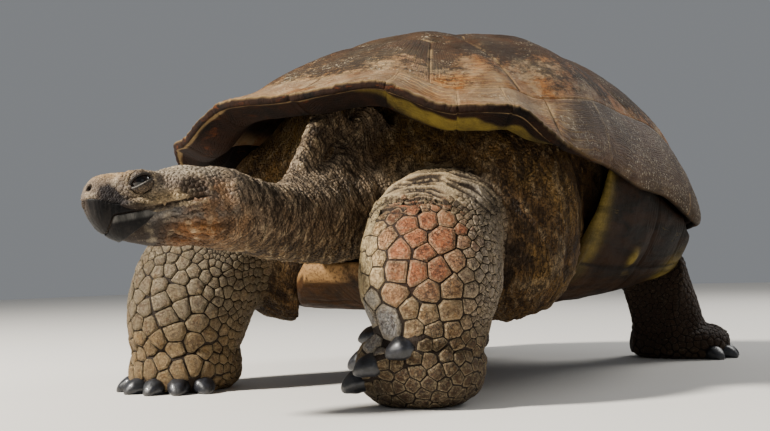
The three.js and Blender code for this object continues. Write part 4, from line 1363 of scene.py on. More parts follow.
def split_quads(points, quads, others, chosen):
    """Each chosen quad becomes four. Its neighbours take in the new points on their edges."""
    corners = quads[chosen]
    found, middle = np.unique(edge_keys(corners, len(points)), return_inverse=True)
    ends = np.stack([found // len(points), found % len(points)], axis=-1)
    middle = middle.reshape(-1, 4) + len(points)
    centre = np.arange(len(corners)) + len(points) + len(found)
    new = np.concatenate([points, points[ends].mean(1), points[corners].mean(1)])
    parts = [
        np.stack([corners[:, i], middle[:, i], centre, middle[:, i - 1]], axis=-1) for i in range(4)
    ]
    rest = quads[~chosen]
    keys = edge_keys(rest, len(points))
    at = np.minimum(np.searchsorted(found, keys), len(found) - 1)
    hit = (found[at] == keys).reshape(-1, 4)
    at = at.reshape(-1, 4) + len(points)
    touched = hit.any(1)
    lookup = dict(zip(found.tolist(), range(len(points), len(points) + len(found))))
    widened = []
    for face, hits, mids in zip(rest[touched].tolist(), hit[touched].tolist(), at[touched].tolist()):
        row = []
        for corner, used, mid in zip(face, hits, mids):
            row += [corner, mid] if used else [corner]
        widened.append(row)
    for face in others:
        row = []
        for a, b in zip(face, face[1:] + face[:1]):
            row.append(a)
            mid = lookup.get(min(a, b) * len(points) + max(a, b))
            if mid is not None:
                row.append(mid)
        widened.append(row)
    return new, np.concatenate([*parts, rest[~touched]]), widened


skin_points, skin_quads = drawn_mesh(field, FAR_AWAY, CELL, FIELD_LOW)
skin_points = onto_skin(skin_points)
print("first skin mesh:", len(skin_quads), "quads")

# %% [markdown]
# ## Regions, folds and wrinkles
# Old skin is never smooth. Neck wrinkles run round the neck, the chest is crossed by lines that
# hang from the shell, and deep folds lie where a leg bends. Each kind is a ridged noise drawn
# out in one direction, in coordinates that follow the neck, chest or leg.

# %% Regions of the body
def regions(points):
    """How much a point belongs to each mass. The shares of a point add up to 1."""
    points = points.astype(np.float32)
    distances = {
        "head": head_distance(points),
        "neck": NECK.distance(points),
        "tail": TAIL.distance(points),
        "body": np.min([ellipsoid_distance(points, *shape) for shape in BODY_SHAPES], axis=0),
        "strap": np.min([strap.distance(points) for strap in STRAPS], axis=0),
    }
    for name in LEGS:
        distances[name] = leg_distance(points, name)
    closest = np.min(list(distances.values()), axis=0)
    weights = {name: np.exp(-(d - closest) / 9) for name, d in distances.items()}
    total = sum(weights.values())
    return {name: weight / total for name, weight in weights.items()}


def facing(points):
    """Outward directions of the smooth skin."""
    return unit(field_slope(points))


MOUTH = [(0.1, -60), (0.155, -34), (0.19, -11), (0.37, -6), (0.545, 1), (0.71, 7), (0.8, 9)]
across_snout = np.linspace(4, 40, 145)
NOSTRIL_SHARE, NOSTRIL_HEIGHT = 0.058, 31
snout_gap = np.abs(skull_distance(in_head(NOSTRIL_SHARE, across_snout, NOSTRIL_HEIGHT), UNDER_SCALES))
NOSTRIL = (NOSTRIL_SHARE, across_snout[snout_gap.argmin()], NOSTRIL_HEIGHT)
NOSTRIL_CENTRE = in_head(*NOSTRIL)
NOSTRIL_AXIS = unit(np.array([
    skull_distance(NOSTRIL_CENTRE + a, UNDER_SCALES) - skull_distance(NOSTRIL_CENTRE - a, UNDER_SCALES)
    for a in np.eye(3) * 2
]))
print("nostril at", NOSTRIL, "facing", NOSTRIL_AXIS.round(2))


def mouth_height(share):
    shares, heights = np.array(MOUTH[2:]).T
    return np.interp(share, shares, heights)


def creases(across, along, place, seed, sharpness=3):
    """Ridges from 0 to 1 with grooves between them, drawn out along one direction."""
    warped = np.stack([across, along, place], axis=-1)
    return ridged(warped, seed, sharpness)


def head_folds(points):
    share, side, height = head_place(points)
    along = share * HEAD_LENGTH
    out = np.abs(side)
    around = np.arctan2(height, out) * 55
    fold = 0.3 * layered(points / 4.5, 2, 40)
    lip = height - mouth_height(share)
    in_mouth = smooth(share, 0.34, 0.4) * (1 - smooth(share, 0.74, 0.84)) * smooth(out, 22, 30)
    fold -= 3.4 * in_mouth * bell(lip / 1.7)
    fold += 1.3 * in_mouth * bell((np.abs(lip) - 6) / 3.5)
    ear = np.hypot(along - 0.7 * HEAD_LENGTH, height - 20)
    fold -= 2.6 * smooth(out, 30, 42) * (1 - smooth(ear, 10, 22))
    fold += 1.1 * smooth(out, 30, 42) * bell((ear - 25) / 4)
    eye = np.hypot(along - EYE[0] * HEAD_LENGTH, (height - EYE[2]) * 1.15)
    near_eye = smooth(out, 22, 30) * smooth(eye, 15, 19) * (1 - smooth(eye, 30, 42))
    fold += near_eye * 1.0 * (np.cos(eye * 2 * math.pi / 5.2 + 2 * noise(points / 9, 41)) * 0.5)
    fold += 1.4 * smooth(out, 22, 30) * bell((eye - 22) / 4)
    throat = smooth(-height, 18, 34) * smooth(share, 0.4, 0.6)
    wave = around + 7 * noise(points / 26, 42)
    fold += throat * 2.4 * (creases(wave / 8, along / 55, height * 0, 43) - 0.5)
    corner = smooth(share, 0.72, 0.85) * (1 - smooth(height, 25, 45))
    sweep = along + 0.5 * height + 6 * noise(points / 20, 44)
    fold += corner * 1.6 * (creases(sweep / 7, around / 40, height * 0, 45) - 0.45)
    jaw = smooth(share, 0.42, 0.5) * (1 - smooth(share, 0.74, 0.8)) * bell((lip + 20) / 9)
    fold += jaw * 1.1 * np.cos(lip * 2 * math.pi / 8 + noise(points / 12, 46))
    nostril = off_nostril(share, out, height)
    fold += 1.2 * bell((nostril - 8) / 2) - 8 * (1 - smooth(nostril, 3, 6))
    beak_top = np.interp(share, [0.07, 0.2, 0.46], [16, 6, 4])
    under_beak = (1 - smooth(share, 0.36, 0.44)) * (1 - smooth(height - beak_top, -3, 0.5))
    return fold - (1.2 + np.maximum(fold, 0)) * under_beak


def off_nostril(share, out, height):
    """Distance from the line through the left nostril, square to the snout."""
    offset = in_head(share, out, height) - NOSTRIL_CENTRE
    along = offset @ NOSTRIL_AXIS
    apart = np.linalg.norm(offset - along[..., None] * NOSTRIL_AXIS, axis=-1)
    return apart + 9 * smooth(np.abs(along), 12, 20)


def neck_folds(points, swell=1):
    share, side, up, _ = NECK.place(points.astype(np.float32))
    along = share * NECK.length
    around = np.arctan2(-up, side) * 70
    below = smooth(up, -10, 45)
    sway = 9 * noise(points / 34, 50)
    hoops = creases((along + sway - 0.55 * below * np.abs(around + 110)) / 10, around / 60, share * 0, 51)
    fine = creases((along + 0.6 * sway + 0.3 * around) / 4.6, around / 22, share * 0, 52, 2)
    cross = creases((along - 0.7 * around + sway) / 8, (around + 0.7 * along) / 45, share * 0, 53)
    big = creases((along + 1.5 * sway) / 30, around / 130, share * 0, 54, 2)
    front = smooth(share, 0.3, 0.5)
    small = 2.6 * (hoops - 0.45) + 1.5 * (fine - 0.4) + 1.3 * (cross - 0.3) * (0.4 + 0.6 * below)
    return small + 4 * swell * (1 - 0.6 * front) * (big - 0.5)


def body_folds(points, swell=1):
    x, y, z = points.T
    around = np.arctan2(x - 10, -(y + 60)) * 300
    sway = 12 * noise(points / 45, 60)
    hanging = creases((around + sway + 0.12 * z) / 11, z / 75, y / 90, 61)
    left = creases((around + 0.8 * z + sway) / 10, (z - 0.8 * around) / 70, y / 90, 62, 4)
    right = creases((around - 0.7 * z - sway) / 12, (z + 0.7 * around) / 80, y / 90, 63, 4)
    big = creases((around + 2.2 * sway) / 42, z / 170, y / 200, 64, 2)
    fine = layered(points / 3.6, 2, 65)
    beside_neck = bell((np.abs(around) - 110) / 60) * smooth(-y, 200, 330)
    return (
        2.5 * (hanging - 0.4) + 1.4 * (left - 0.3) + 1.4 * (right - 0.3)
        + 4.2 * swell * (1 + beside_neck) * (big - 0.5) + 0.4 * fine
    )


def strap_folds(points):
    height = points[:, 2]
    sway = 6 * noise(points / 20, 70)
    rows = creases((height + sway + 0.4 * points[:, 1]) / 6, points[:, 1] / 30, points[:, 0] / 30, 71, 2)
    cords = creases((points[:, 1] + 0.4 * height + sway) / 9, height / 60, points[:, 0] / 12, 72, 3)
    return 2.0 * (rows - 0.5) + 2.2 * (cords - 0.4)


# For each leg: the shares along it of its wrist or ankle and of the folds at its top.
LEG_CREASES = {
    "front_left": (0.88, 0.3),
    "front_right": (0.9, 0.34),
    "hind_left": (0.86, 0.3),
    "hind_right": (0.86, 0.3),
}
ARCH_CENTRE, ARCH_SQUEEZE, ARCH_WIDTH = (245, -585, 215), (0.8, 1, 1), 7.5
ARCHES_FROM, ARCHES_FULL = 284, 308
FORE_MIDDLE, FAR_MIDDLE = (222, -500), (-325, -480)
ACROSS_X, ACROSS_Y = 0.829, 0.559


def across_leg(points, middle):
    """How far out from the middle of a fore leg a point is, in millimetres."""
    return (points[:, 0] - middle[0]) * ACROSS_X + (points[:, 1] - middle[1]) * ACROSS_Y


def knee_arches(points):
    """Ridges from 0 to 1 that arch over the bent knee of the left fore leg."""
    _, side, up, _ = LEGS["front_left"].place(points.astype(np.float32))
    around = np.arctan2(up, side) * 100
    arch = np.linalg.norm((points - ARCH_CENTRE) * ARCH_SQUEEZE, axis=-1) + 9.8 * noise(points / 32, 80)
    return creases(arch / ARCH_WIDTH, around / 60, around * 0, 83, 2)


def leg_folds(points, name):
    share, side, up, _ = LEGS[name].place(points.astype(np.float32))
    along = share * LEGS[name].length
    around = np.arctan2(up, side) * 100
    sway = 7 * noise(points / 32, 80)
    wrist, top = LEG_CREASES[name]
    arches = creases((along + sway) / 13, around / 90, share * 0, 81, 2)
    fine = creases((along + sway) / 5, around / 26, share * 0, 82, 2)
    rows = bell((share - top) / 0.16) + 0.8 * bell((share - wrist) / 0.06)
    crease = np.exp(-(((along + 0.6 * sway) - wrist * LEGS[name].length) / 5) ** 2)
    depth = 5 if name.startswith("front") else 3
    height = rows * 3.6 * (arches - 0.45) + 0.8 * (fine - 0.4) - depth * crease
    if name == "front_left":
        height += 7.5 * smooth(points[:, 2], ARCHES_FROM, ARCHES_FULL) * (knee_arches(points) - 0.55)
    return height


def tail_folds(points):
    x, y, z = points.T
    return 1.6 * (creases(z / 9 + noise(points / 20, 90), x / 40, y / 30, 91) - 0.45)


def folds(points, weights, swell=1):
    """Height of the wrinkled skin over the smooth one, in millimetres."""
    height = np.zeros(len(points))
    makers = {"head": head_folds, "strap": strap_folds}
    makers["neck"] = lambda p: neck_folds(p, swell)
    makers["body"] = lambda p: body_folds(p, swell)
    for name in LEGS:
        makers[name] = lambda p, name=name: leg_folds(p, name)
    makers["tail"] = tail_folds
    for name, make in makers.items():
        near = weights[name] > 0.02
        if near.any():
            height[near] += weights[name][near] * make(points[near])
    return height


# %% Split, wrinkle and thin the mesh
def face_centres(points, quads):
    return points[quads].mean(1)


def folded_region(points):
    """Where folds are small: head, neck, straps, chest and left knee. Then the head alone."""
    weights = regions(points)
    chest = weights["body"] * (points[:, 1] < -225) * (points[:, 2] > 120)
    knee = weights["front_left"] * (points[:, 2] > 235)
    soft = weights["head"] + weights["neck"] + weights["strap"] + chest + knee
    return soft > 0.35, weights["head"] > 0.6


skin_others = []
fold_faces, _ = folded_region(face_centres(skin_points, skin_quads))
skin_points, skin_quads, skin_others = split_quads(skin_points, skin_quads, skin_others, fold_faces)
skin_points = onto_skin(skin_points)
centres = face_centres(skin_points, skin_quads)
share, _, _ = head_place(centres)
fine_faces = np.zeros(len(skin_quads), bool)
near_head = (share < 1.1) & (centres[:, 1] < -700)
fine_faces[near_head] = folded_region(centres[near_head])[1]
skin_points, skin_quads, skin_others = split_quads(skin_points, skin_quads, skin_others, fine_faces)
skin_points = onto_skin(skin_points, 1)
print("split skin mesh:", len(skin_quads), "quads and", len(skin_others), "joining faces")
skin_weights = regions(skin_points)
skin_normals = facing(skin_points)
skin_points = skin_points + skin_normals * folds(skin_points, skin_weights)[:, None]
skin_points[:, 2] = np.maximum(skin_points[:, 2], 0.5)
hidden = skin_weights["body"] * np.clip((skin_points[:, 1] + 200) / 40, 0, 1)

# %% [markdown]
# ## Markings
# One function gives the colour of the animal at any point: olive brown in the shade of the
# shell, grey brown on the head and neck, orange on the throat, cream and terracotta on the left
# fore leg, dark brown behind. Painted shade is part of it: on the hind legs, low on the left fore
# foot, in the grooves over the left knee, where the neck meets the shell and in the nostrils,
# with a painted highlight along the lower jaw. Skin and scales both ask it, so their markings
# always agree. It is put together from the colours of the face and of each leg.

# %% Colours of the body
def tone(code):
    return np.array(shade(code)[:3])


def painted(colours, *layers):
    """Lays colours over the first ones, each a pair of its share and its web code."""
    for share, code in layers:
        colours = colours + (tone(code) - colours) * np.clip(share, 0, 1)[:, None]
    return colours


def near(points, centre, radius):
    return 1 - smooth(np.linalg.norm(points - np.array(centre), axis=-1), 0.55 * radius, radius)


# The hind legs, under the back of the shell, are dark brown, deepened with painted shade.
LEG_TONES = {
    "front_left": "8f7555",
    "front_right": "7d705b",
    "hind_left": "3a2b20",
    "hind_right": "3a2b20",
}
# The dark skin over the beak reaches up to this height, by share along the head.
DARK_TOP = graph((0.1, 28), (0.13, 34), (0.2, 33), (0.25, 20), (0.33, 9), (0.45, 5), (0.6, 5), (0.8, 6))
TERRACOTTA_CENTRE, TERRACOTTA_REACH = (250, -590, 256), 108
WRIST_PLATE = (180, -590, 128)
JAW_CORNER = (0.86, 52, -16)


def face_colours(points, specks):
    share, side, height = head_place(points)
    out = np.abs(side)
    cheek = bell((height - 4 - 12 * share) / 9) * smooth(share, 0.26, 0.4) * (1 - smooth(share, 0.6, 0.78))
    temple = np.exp(-((((share - 0.7) * HEAD_LENGTH) / 32) ** 2) - ((height - 18) / 20) ** 2)
    lip = height - mouth_height(share)
    jaw = bell((lip + 10) / 9) * smooth(share, 0.3, 0.4) * (1 - smooth(share, 0.58, 0.7))
    throat = smooth(-height, 16, 36) * smooth(share, 0.38, 0.6)
    chin = smooth(-lip, 12, 22) * (1 - smooth(share, 0.42, 0.62))
    corner = near(points, in_head(*JAW_CORNER), 62)
    dark_top = DARK_TOP(share) + 4 * noise(points / 8, 102)
    dark = smooth(share, 0.085, 0.13) * (1 - smooth(height, dark_top - 4, dark_top + 3))
    dark = dark * smooth(lip, -14, -6)
    nostril = off_nostril(share, out, height)
    return painted(
        np.tile(tone("71655a"), (len(points), 1)),
        (smooth(height, 34, 52) * (1 - smooth(share, 0.28, 0.4)) * 0.9, "a08460"),
        (smooth(height, 30, 50) * smooth(share, 0.42, 0.6) * 0.7, "a39681"),
        (temple * smooth(out, 25, 40) * 0.6, "4a3c35"),
        (throat * 0.9, "6a431d"),
        (chin * 0.9, "1d1815"),
        # The grey band along the lower jaw is a painted highlight.
        (jaw * 0.85, "767472"),
        (corner * smooth(specks, -0.8, 0.8) * 0.65, "9a6531"),
        (smooth(specks, 0.2, 0.9) * 0.35, "b8a88c"),
        (dark * (1 - smooth(share, 0.55, 0.75)) * 0.95, "17151a"),
        (cheek * 0.8, "b39c78"),
        # The nostril pit is painted near black as shade, with darker skin round it.
        ((1 - smooth(nostril, 6, 12)) * 0.5, "4a4038"),
        (1 - smooth(nostril, 3.6, 6), "070505"),
    )


def leg_colours(points, name, patches, specks):
    z = points[:, 2]
    is_front = name.startswith("front")
    leg = np.tile(tone(LEG_TONES[name]), (len(points), 1))
    leg = painted(leg, (smooth(patches, 0, 0.7) * 0.5, "8f7a5c" if is_front else "35271d"))
    if name == "front_left":
        out = across_leg(points, FORE_MIDDLE)
        # The grooves of the arches over the knee are painted dark as shade.
        knee_groove_shade = smooth(knee_arches(points), 0.62, 0.4) * smooth(z, ARCHES_FROM, ARCHES_FULL)
        ragged = points + 22 * specks[:, None]
        return painted(
            leg,
            (smooth(z, 295, 330) * 0.75, "8a7a60"),
            (smooth(out, 35, 85) * 0.8, "9c9182"),
            (near(ragged, TERRACOTTA_CENTRE, TERRACOTTA_REACH) * 0.85, "a05a35"),
            (smooth(-out, 45, 85) * 0.8, "b3a178"),
            (knee_groove_shade * 0.85, "1e150c"),
            # Towards the floor the foot is painted darker, as shade.
            (smooth(150 - z, 0, 55) * 0.9, "4d3b24"),
            (smooth(75 - z, 0, 55) * 0.7, "33261a"),
            (near(points, WRIST_PLATE, 62) * 0.9, "8d8d8e"),
        )
    if name == "front_right":
        lower, upper = smooth(170 - z, 0, 90) * 0.55, smooth(z, 250, 300) * 0.6
        return painted(leg, (lower, "86683a"), (upper, "7b705b"))
    return painted(leg, (smooth(40 - z, 0, 30) * 0.4, "66563f"))


def markings(points, weights):
    z = points[:, 2]
    count = (len(points), 1)
    patches = layered(points / 60, 3, 100)
    specks = layered(points / 11, 2, 101)
    colours = painted(
        np.tile(tone("604728"), count),
        (smooth(patches, -0.2, 0.8) * 0.45, "7f6230"),
        (smooth(z, 400, 470) * 0.6, "655022"),
        (near(points, (112, -400, 330), 90) * 0.7, "a08f74"),
    )
    neck = painted(
        np.tile(tone("7d6852"), count),
        (smooth(patches, -0.2, 0.8) * 0.5, "927c61"),
        (smooth(290 - z, 0, 70) * 0.75, "57431f"),
        (smooth(z, 300, 345) * 0.5, "a4937c"),
        # Where the neck and straps rise to the shell they are painted dark as shade.
        (smooth(z, 385, 440) * 0.75, "43331f"),
    )
    face = face_colours(points, specks)
    tail = np.tile(tone("54432f"), count)
    colours = colours * weights["body"][:, None] + neck * (weights["neck"] + weights["strap"])[:, None]
    colours += face * weights["head"][:, None] + tail * weights["tail"][:, None]
    for name in LEGS:
        colours += leg_colours(points, name, patches, specks) * weights[name][:, None]
    return colours * (1 + 0.16 * specks + 0.1 * patches)[:, None]


# %% [markdown]
# ## Skin
# The material takes the colour of the markings. Grooves, wrinkle lines and the borders of small
# pebbles are darker with painted shade, and ridges are paler with a painted highlight. Under the
# scales of the legs the skin is darkened with painted shade, so it only shows as dark lines
# between them.

# %% The skin's finish
# The dark colour gives random blotches and painted shade; the pale one gives random blotches and a painted
# highlight.
DARK_TONE_AND_SHADE, PALE_TONE_AND_HIGHLIGHT, DUST = "20160e", "c4ae88", "b9ab92"
# Wavy lines as (lengths in metres, turn, width, detail): hoops round the neck, and lines that
# hang down the chest and cross there. They are painted dark, as shade in the wrinkles.
HOOPS = [
    ((0.12, 0.010, 0.09), (0.25, 0, 0), 0.05, 2),
    ((0.07, 0.006, 0.05), (-0.5, 0, 0.2), 0.05, 1),
]
HANGING = [
    ((0.012, 0.012, 0.2), (0, 0, 0), 0.035, 2),
    ((0.008, 0.008, 0.09), (0.4, 0.5, 0), 0.04, 1),
    ((0.016, 0.016, 0.2), (-0.5, -0.7, 0), 0.025, 2),
]


def hide_finish(name, on_scales=False):
    """Wrinkled hide with painted shade in its hollows and a painted highlight on its ridges. On small
    scales the rim of each is darkened with painted shade too.
    """
    hide = Finish(name)
    relief, on_neck, on_body = map(hide.attribute, ("relief", "on_neck", "on_body"))
    hoops, crossing = hide.lines(*HOOPS[0]), hide.lines(*HANGING[0])
    for line in HOOPS[1:]:
        hoops = hoops + hide.lines(*line)
    for line in HANGING[1:]:
        crossing = crossing + hide.lines(*line)
    wrinkle = hoops * on_neck + crossing * on_body
    grain = hide.noise(340, 4, 0.65)
    blotch = hide.noise(28, 5, 0.62, 0.3)
    pebble = hide.cells(330, randomness=0.9)
    raised = relief + grain * 0.8 - 0.4
    dust = hide.noise(90, 5, 0.75).rise(0.58, 0.72)
    base = hide.attribute("tone", output=0)
    base = hide.mix(blotch.rise(0.42, 0.66) * 0.3, base, shade(PALE_TONE_AND_HIGHLIGHT), "SOFT_LIGHT")
    base = hide.mix(blotch.rise(0.5, 0.3) * 0.2, base, shade(DARK_TONE_AND_SHADE), "MULTIPLY")
    # Low relief, pebble borders, wrinkle lines and the rims of small scales take painted shade; high relief
    # takes a painted highlight.
    layers = [
        (raised.rise(0.2, -1.7) * 0.8, DARK_TONE_AND_SHADE),
        (raised.rise(0.4, 2.6) * (0.55 - on_body * 0.3), PALE_TONE_AND_HIGHLIGHT),
        (pebble.rise(0.28, 0.62) * 0.3, DARK_TONE_AND_SHADE),
        (wrinkle.math("MINIMUM", 1) * (0.78 - on_body * 0.1), DARK_TONE_AND_SHADE),
    ]
    if on_scales:
        layers.append((hide.attribute("rim").rise(0.9, 1.0) * 0.4, DARK_TONE_AND_SHADE))
    layers.append((dust * (0.22 - on_body * 0.12), DUST))
    rough = 0.62 + grain * 0.2 - relief.rise(0, 2) * 0.12
    normal = hide.bump(grain * 0.6 - pebble * 0.8 - wrinkle * 1.4, 0.0013)
    return hide.finished(hide.layers(base, *layers), rough, normal, Specular_IOR_Level=0.2)


hide = hide_finish("hide")

# %% Thin the mesh where it is hidden
SKIN_TRIANGLES = 192000


def thinned(piece, hidden, target):
    """Collapses edges until about `target` triangles are left, most where `hidden` is near 1."""
    group = piece.vertex_groups.new(name="hidden")
    steps = np.clip((hidden * 10).astype(int), 0, 10)
    for step in range(1, 11):
        group.add(np.flatnonzero(steps == step).tolist(), step / 10, "REPLACE")
    thin = piece.modifiers.new("thin", "DECIMATE")
    thin.ratio = min(1, target / triangle_count(piece))
    thin.vertex_group = "hidden"
    thin.vertex_group_factor = 1.5
    depsgraph = bpy.context.evaluated_depsgraph_get()
    mesh = bpy.data.meshes.new_from_object(piece.evaluated_get(depsgraph))
    piece.modifiers.clear()
    piece.vertex_groups.clear()
    piece.data = mesh
    return piece


def wrinkled(weights):
    """How much a point has the wrinkles of the neck and those of the body."""
    return {
        "on_neck": weights["neck"] + weights["strap"] + 0.25 * weights["head"],
        "on_body": weights["body"] + weights["tail"],
    }


def mesh_points(mesh):
    flat = np.zeros(len(mesh.vertices) * 3, np.float32)
    mesh.vertices.foreach_get("co", flat)
    return (flat.reshape(-1, 3).astype(float) - SHIFT) / MM


skin_faces = skin_quads.tolist() + skin_others
if turned_out(skin_points, skin_quads)[0, 0] != skin_quads[0, 0]:
    skin_faces = [face[::-1] for face in skin_faces]
skin = make_mesh("skin", to_metres(skin_points), skin_faces)
skin = thinned(skin, np.clip(0.25 + 0.75 * hidden, 0, 1), SKIN_TRIANGLES)
final_points = mesh_points(skin.data)
final_weights = regions(final_points)
legs_share = sum(final_weights[name] for name in LEGS)
relief = folds(final_points, final_weights, 0.2)
knee_skin = final_weights["front_left"] * smooth(final_points[:, 2], 298, 320)
# Under the leg scales the relief is lowered and the tone darkened, as painted shade between the scales; the
# top of the left knee keeps its own tone.
relief = relief * (1 - 0.3 * legs_share) - 2.6 * (legs_share - knee_skin)
skin_tone = markings(final_points, final_weights) * (1 - 0.82 * (legs_share - knee_skin))[:, None]
set_attributes(skin.data, {"relief": relief, "tone": skin_tone, **wrinkled(final_weights)})
skin.data.shade_smooth()
flesh_nodes = ["trunk", "neck", "head", "tail", *(f"leg_{name}" for name in LEGS)]
finish_piece(skin, hide, flesh_nodes)

# %% [markdown]
# ## Scales
# Scales are thick plates of horn that meet at narrow grooves, large on the fore legs and as
# fine as gravel on the neck. Their roots are spread at random, no two closer than the spacing
# of their place. Each outline is the space between a root and its neighbours, so plates fit
# together like paving. Each is a small closed solid that follows the skin under it. Geometry
# Nodes could scatter one plate over the skin, but these outlines depend on their neighbours,
# so they are worked out as arrays.

# %% Spread the roots
skin.data.calc_loop_triangles()
triangle_corners = np.zeros(len(skin.data.loop_triangles) * 3, np.int32)
skin.data.loop_triangles.foreach_get("vertices", triangle_corners)
triangle_corners = triangle_corners.reshape(-1, 3)
skin_tree = BVHTree.FromPolygons(final_points.tolist(), triangle_corners.tolist())


def tree_of(points):
    tree = KDTree(len(points))
    for i, point in enumerate(points.tolist()):
        tree.insert(point, i)
    tree.balance()
    return tree


def spread_roots(weight, spacing_of, closest, seed):
    """Random roots on the skin where `weight` is high, apart by the spacing of their place."""
    rng = np.random.default_rng(seed)
    corners = triangle_corners[weight[triangle_corners].mean(1) > 0.5]
    a, b, c = (final_points[corners[:, i]] for i in range(3))
    area = np.linalg.norm(np.cross(b - a, c - a), axis=1) / 2
    count = int(area.sum() / closest**2 * 9)
    pick = rng.choice(len(corners), count, p=area / area.sum())
    s, t = rng.random((2, count))
    s, t = np.where(s + t > 1, [1 - s, 1 - t], [s, t])
    points = a[pick] + (b - a)[pick] * s[:, None] + (c - a)[pick] * t[:, None]
    spacing = spacing_of(points)
    allowed = spacing > 0
    points, spacing = points[allowed], spacing[allowed]
    tree = tree_of(points)
    blocked = bytearray(len(points))
    kept = []
    for i in np.argsort(-spacing + rng.random(len(points)) * 6):
        if blocked[i]:
            continue
        kept.append(i)
        for _, j, _ in tree.find_range(points[i], spacing[i]):
            blocked[j] = 1
    return points[kept], spacing[kept]


# %% Outlines and solids
# Each corner has the best of three turns, so that a plate's corners lie where grooves meet.
NEIGHBOURS, CORNER_SHIFT = 12, 0.36
PATCH_RADIUS = 0.0015


def outlines(roots, spacing, normals, sides, gap):
    """Corners of each scale, as turns in its tangent plane and distances from its root."""
    tree = tree_of(roots)
    found = np.array([[j for _, j, _ in tree.find_n(root, NEIGHBOURS + 1)] for root in roots.tolist()])
    helper = np.where(np.abs(normals[:, 2:]) < 0.8, [[0, 0, 1.0]], [[0, 1.0, 0]])
    first = unit(np.cross(helper, normals))
    second = np.cross(normals, first)
    offset = roots[found[:, 1:]] - roots[:, None]
    x = np.einsum("nki,ni->nk", offset, first)
    y = np.einsum("nki,ni->nk", offset, second)
    away = np.hypot(x, y) + 1e-6
    share = spacing[:, None] / (spacing[:, None] + spacing[found[:, 1:]])
    step = 2 * math.pi / sides
    even = np.arange(sides) * step
    tries = even[:, None] + np.array([-CORNER_SHIFT, 0, CORNER_SHIFT]) * step
    cosine = np.cos(tries.reshape(-1) - np.arctan2(y, x)[..., None])
    reach = np.where(cosine > 0.12, (away * share)[..., None] / np.maximum(cosine, 0.12), 1e9).min(1)
    reach = reach.reshape(len(roots), sides, 3)
    angles = even + (reach.argmax(-1) - 1) * CORNER_SHIFT * step
    reach = np.minimum(reach.max(-1), spacing[:, None] * 1.05)
    crowd = 1 - smooth(spacing, 13, 24)[:, None]
    reach = np.maximum(reach - gap * crowd, 0.25 * spacing[:, None])
    rounded = (np.roll(reach, 1, axis=1) + 2 * reach + np.roll(reach, -1, axis=1)) / 4
    reach = 0.85 * reach + 0.15 * np.minimum(reach, rounded)
    jag = np.random.default_rng(sides).random(reach.shape) - 0.5
    reach = reach * (0.975 + 0.08 * jag)
    return first, second, angles, reach


def skin_under(points):
    places, normals = [], []
    for point in points.reshape(-1, 3).tolist():
        place, normal, _, _ = skin_tree.find_nearest(point)
        places.append(place[:])
        normals.append(normal[:])
    return np.array(places).reshape(points.shape), np.array(normals).reshape(points.shape)


def scale_faces(count, sides, rings):
    """Faces of every scale: bands between its rings, a fan on top and a fan underneath."""
    size = rings * sides + 2
    ring = np.arange(sides)
    after = (ring + 1) % sides
    bands = [
        np.stack([ring, after, sides + after, sides + ring], axis=-1) + r * sides for r in range(rings - 1)
    ]
    last = (rings - 1) * sides
    fans = [
        np.stack([last + ring, last + after, np.full(sides, size - 2)], axis=-1),
        np.stack([after, ring, np.full(sides, size - 1)], axis=-1),
    ]
    starts = np.arange(count)[:, None, None] * size
    quads = (np.concatenate(bands)[None] + starts).reshape(-1, 4)
    triangles = (np.concatenate(fans)[None] + starts).reshape(-1, 3)
    return quads.tolist() + triangles.tolist()


def scale_map(roots, unwrap, angles, rings):
    """Places on the coat's own map: each scale is a small patch where its root is."""
    count, sides = angles.shape
    patch = np.zeros((count, rings * sides + 2, 2))
    across = np.stack([np.cos(angles), np.sin(angles)], axis=-1) * PATCH_RADIUS
    for r, wide in enumerate((1, 0.8, 0.5)[:rings]):
        patch[:, r * sides : (r + 1) * sides] = across * wide
    return patch + (unwrap(roots) * 0.98 + 0.01)[:, None]


